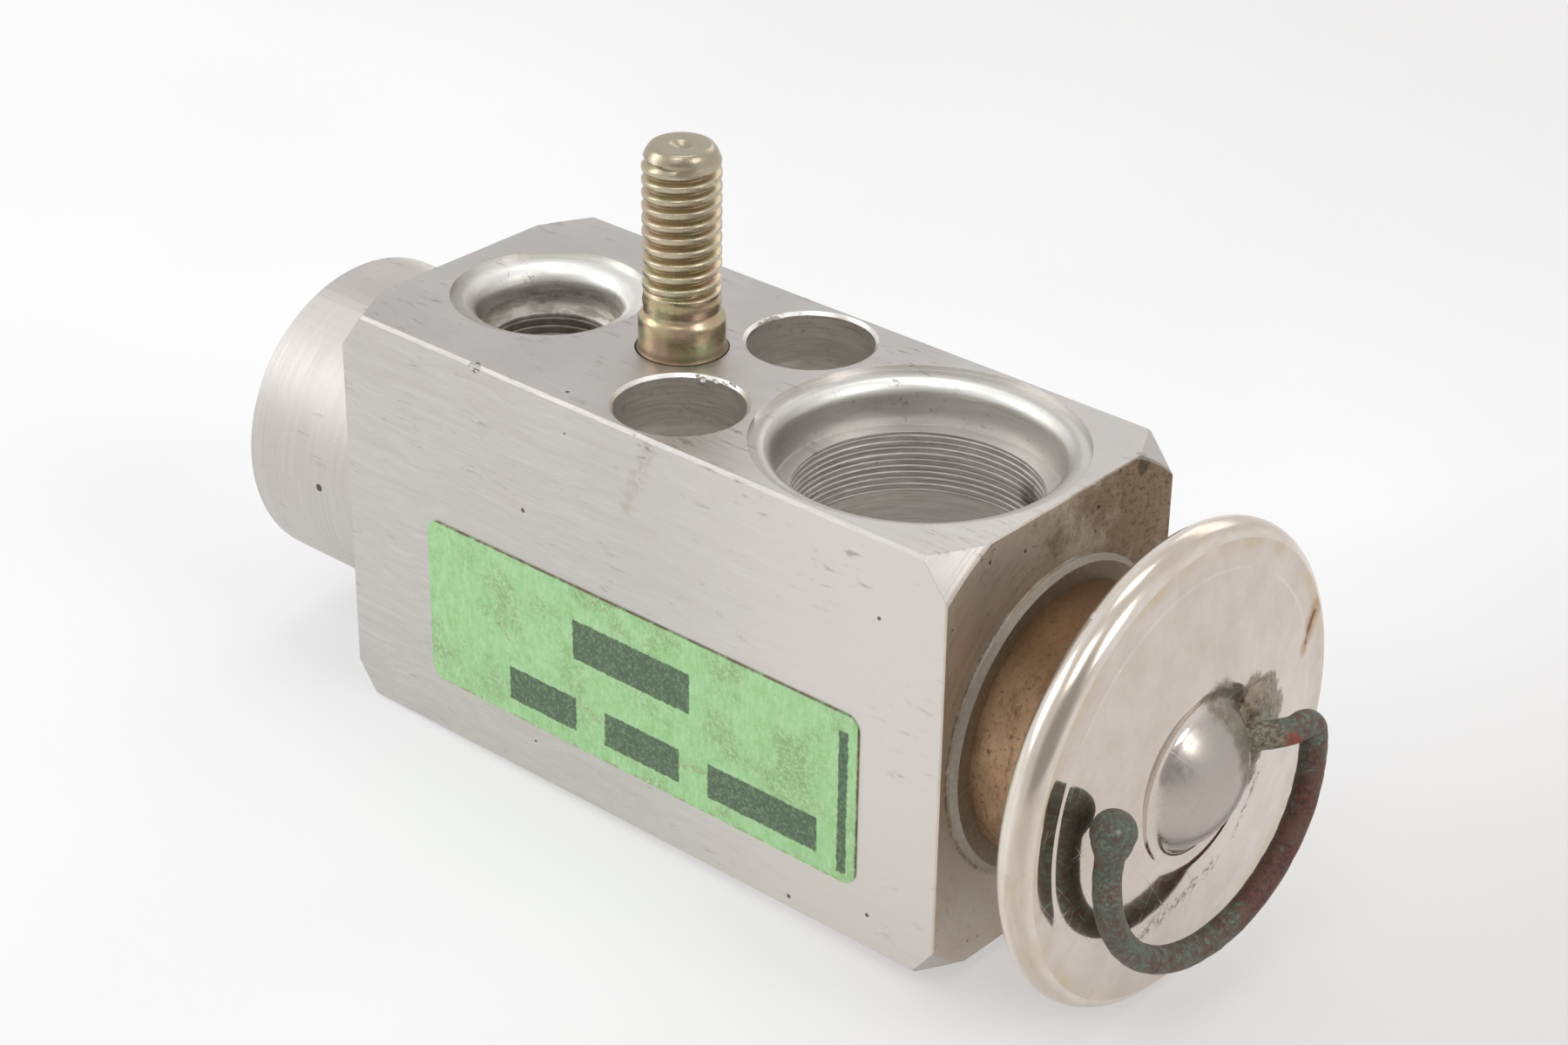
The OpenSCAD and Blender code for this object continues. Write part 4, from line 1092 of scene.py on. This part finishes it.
def cover_material():
    look = Look("polished_stainless")
    radius, angle = look.turned()
    cloud = look.mottle(0.3, 5.0, 0.65)
    grain = look.mottle(3.0, 5.0, 0.7)
    soft = look.mottle(0.25, 2.0)
    look.tone = look.shades(cloud.ramp(0.3, 0.7), (226, 217, 209), (216, 206, 197))
    dome = radius.ramp(DOME_R + 0.3, DOME_R - 0.5)
    # Painted reflection: the dome is darker than the cone, and darker towards its top
    dome_painted_reflection = look.shades(look.z.ramp(AXIS_Z, AXIS_Z + 4.0), (186, 178, 172), (164, 157, 150))
    look.paint(dome * 0.8, dome_painted_reflection)
    # Straw tint on the flange beside the weld
    flange = radius.ramp(SHELL_R - 1.4, SHELL_R - 0.3)
    patchy = look.noise(look.join(angle * 3.0, 0.0, 0.0), 1.0, 3.0).ramp(0.4, 0.62)
    look.paint(flange * patchy * 0.5, 206, 182, 140)
    # Brown stain at the rim
    stain = look.streak((40.1, 15.0, 23.0), (40.1, 13.6, 20.0), 0.25, 0.75, 0.4, 0.9)
    look.paint(stain * 0.7, 184, 142, 84)
    core = look.streak((40.1, 14.7, 22.4), (40.1, 13.75, 20.4), 0.06, 0.3, 0.15, 2.0)
    look.paint(core * 0.8, 92, 62, 38)
    # Pitted streak that runs down beside the dome
    pitted = look.mottle(2.2, 5.0, 0.75)
    trail = look.most(
        look.streak((41.0, 7.8, 12.8), (41.0, 5.4, 8.7), 0.0, 0.5, 0.5),
        look.streak((40.8, 3.4, 7.6), (40.8, -4.2, 5.4), 0.1, 0.8, 0.9, 0.9) * 0.7,
    )
    trail = trail * pitted.ramp(0.46, 0.6)
    look.paint(trail * 0.75, 100, 84, 68)
    film = cover_film(look)
    haze = look.most(*(look.spot((x, y, z), spread, 1.1, 0.7, 1.3) for x, y, z, spread in HAZE))
    look.paint(haze * pitted.ramp(0.3, 0.6, 0.5, 0.95), 140, 131, 118)
    look.paint(film * 0.9, 164, 151, 137)
    speckled = look.mottle(2.4, 5.0, 0.8)
    look.paint(film * speckled.ramp(0.5, 0.64) * 0.75, 92, 80, 66)
    rim_line = film * (1.0 - film) * 4.0
    look.paint(rim_line * pitted.ramp(0.4, 0.5) * 0.45, 64, 54, 44)
    dots = look.most(look.spot((40.4, 11.4, 7.8), 0.06, 0.08), look.spot((40.9, 0.7, 5.1), 0.05, 0.08))
    look.paint(dots, 60, 52, 46)
    scratch = cover_scratches(look)
    rough = grain.ramp(0.2, 0.8, 0.06, 0.11) + dome * pitted.ramp(0.4, 0.6, 0.2, 0.33)
    rough = rough + look.most(film, trail) * 0.4 + scratch * 0.12 + haze * 0.2
    height = soft * 11.0 + grain * 0.3 + look.most(film, haze) * speckled * 18.0
    height -= scratch + trail * 6.0
    look.surface(1.0, rough, height, 0.002)
    return look


def rim_material():
    look = Look("welded_rim")
    radius, angle = look.turned()
    drift = look.noise(look.join(angle * 1.6, look.x * 0.3, 0.0), 1.0, 3.0)
    across = look.x + (drift - 0.5) * 0.7
    band = across.inside(RIM_MID_X + 0.2, RIM_MID_X + 0.9, 0.5)
    grain = look.noise(look.join(look.x, angle * 3.0, 0.0), 2.4, 4.0, 0.6)
    look.tone = look.shades(grain.ramp(0.3, 0.7), (233, 225, 215), (223, 213, 201))
    # The darker band on the rim's front side is partly heat tint and partly painted reflection
    look.paint(band * 0.42, 176, 160, 140)
    look.paint(drift.ramp(0.5, 0.62) * 0.2, 206, 178, 150)
    nick = look.spot((38.0, -8.7, AXIS_Z + 15.0), 0.25, 0.2, 0.2)
    rough = grain.ramp(0.2, 0.8, 0.17, 0.23) + nick * 0.3
    look.surface(1.0, rough, grain, 0.004)
    return look


def stud_material():
    look = Look("zinc_chromate")
    radius = look.upright(STUD_X, 0)
    sheen = look.stretched(0.5, 0.5, 0.35, 1.0, 4.0, 0.6)
    second = look.mottle(0.8, 4.0, 0.7)
    grain = look.mottle(3.0, 5.0, 0.75)
    look.tone = look.shades(sheen.ramp(0.36, 0.56), (190, 166, 144), (184, 172, 134))
    look.paint(sheen.ramp(0.54, 0.66), 158, 160, 126)
    look.paint(second.ramp(0.5, 0.7) * 0.5, 194, 148, 140)
    worn = radius.ramp(2.62, 2.9) * look.z.ramp(BLOCK_H + 4.4, BLOCK_H + 5.0)
    look.paint(worn * 0.6, 206, 196, 172)
    grimy = radius.ramp(2.62, 2.42) * look.z.ramp(BLOCK_H + 15.6, BLOCK_H + 15.2)
    look.paint(grimy * 0.7, 128, 102, 72)
    aged = look.z.ramp(BLOCK_H + 5.0, BLOCK_H + 14.0)
    look.paint(aged * second.ramp(0.3, 0.6) * 0.5, 168, 156, 138)
    head = look.z.ramp(BLOCK_H + 14.2, BLOCK_H + 15.2)
    look.paint(head * 0.75, 168, 160, 142)
    foot = look.z.ramp(BLOCK_H + 0.9, BLOCK_H + 0.1) * 0.8
    look.paint(foot, 116, 98, 78)
    look.paint(grain.ramp(0.6, 0.75) * 0.4, 110, 90, 62)
    rough = grain.ramp(0.2, 0.8, 0.22, 0.36) + look.most(grimy, foot) * 0.2
    look.surface(0.95, rough, grain, 0.012)
    return look


def tube_material():
    look = Look("corroded_copper")
    broad = look.mottle(0.5, 4.0, 0.6)
    patches = look.mottle(1.2, 5.0, 0.7)
    fine = look.mottle(3.2, 5.0, 0.8)
    look.tone = look.shades(fine.ramp(0.35, 0.65), (112, 72, 66), (66, 45, 42))
    look.paint(broad.ramp(0.45, 0.6, 0.0, 0.6), 104, 82, 66)
    green_side = look.most(
        look.spot((42.5, -11.6, 16.5), 3.6, 3.0),
        look.spot((43.0, -9.5, 9.0), 2.5, 4.0) * 0.85,
        look.spot((43.5, -3.0, 4.8), 3.5, 4.0) * 0.7,
        look.spot((42.5, 7.0, 16.6), 2.6, 2.0) * 0.85,
    )
    spread = patches * 0.7 + fine * 0.3 + green_side * 0.17
    green = spread.ramp(0.54, 0.68)
    verdigris = look.shades(fine.ramp(0.38, 0.66), (58, 72, 62), (124, 144, 124))
    look.paint(green * 0.75, verdigris)
    look.paint(green_side * broad.ramp(0.35, 0.6) * 0.45, 72, 76, 66)
    freckles = look.mottle(1.1, 4.0, 0.6).ramp(0.62, 0.68)
    look.paint(freckles * 0.6, 134, 62, 50)
    red = look.spot((44.2, 6.4, 17.4), 0.7, 0.5, 0.7, 1.4) * fine.ramp(0.4, 0.52)
    look.paint(red * 0.9, 150, 58, 38)
    pale = look.spot((43.3, -12.3, 19.0), 0.12, 0.2)
    look.paint(pale * 0.7, 190, 196, 180)
    dark = look.mottle(2.4, 5.0, 0.8).ramp(0.58, 0.7)
    look.paint(dark * 0.55, 48, 42, 38)
    # Solder reaches a little way up the tube from its root
    root = look.y.inside(2.0, 5.3, 0.9) * look.z.ramp(12.0, 14.0) * patches.ramp(0.3, 0.5, 0.5, 1.0)
    crumbs = look.shades(fine.ramp(0.42, 0.6), (86, 84, 68), (150, 142, 120))
    look.paint(root * 0.85, crumbs)
    metal = green.ramp(0.0, 1.0, 0.35, 0.05)
    look.surface(metal, fine.ramp(0.2, 0.8, 0.4, 0.62), fine + patches * 1.5, 0.05)
    return look


def solder_material():
    look = Look("rough_solder")
    fine = look.mottle(2.4, 5.0, 0.8)
    coarse = look.mottle(0.9, 4.0, 0.65)
    look.tone = look.shades(coarse.ramp(0.35, 0.65), (168, 154, 138), (146, 132, 114))
    look.paint(fine.ramp(0.5, 0.64, 0.0, 0.75), 92, 80, 66)
    greenish = look.y.ramp(5.4, 4.6) * fine.ramp(0.4, 0.6)
    look.paint(greenish * 0.5, 146, 146, 108)
    verdigris = look.spot((42.2, 6.9, AXIS_Z + 0.9), 1.2, 1.0, 0.6) * fine.ramp(0.4, 0.55)
    look.paint(verdigris * 0.8, 112, 132, 112)
    look.surface(0.4, fine.ramp(0.2, 0.8, 0.42, 0.62), fine, 0.06)
    return look


burrs = plain_look("torn_aluminium", srgb(214, 210, 206), srgb(150, 144, 138), 0.32, 3.0, depth=0.05)
burrs.wear(build_burrs())
cover_material().wear(build_cover())
rim_material().wear(build_rim())
stud_material().wear(build_stud())
tube_material().wear(build_tube())
solder_material().wear(build_solder())
spring = plain_look("spring_look", srgb(180, 180, 184), srgb(150, 150, 154), 0.35, 1.5)
for half in build_spring():
    spring.wear(half)
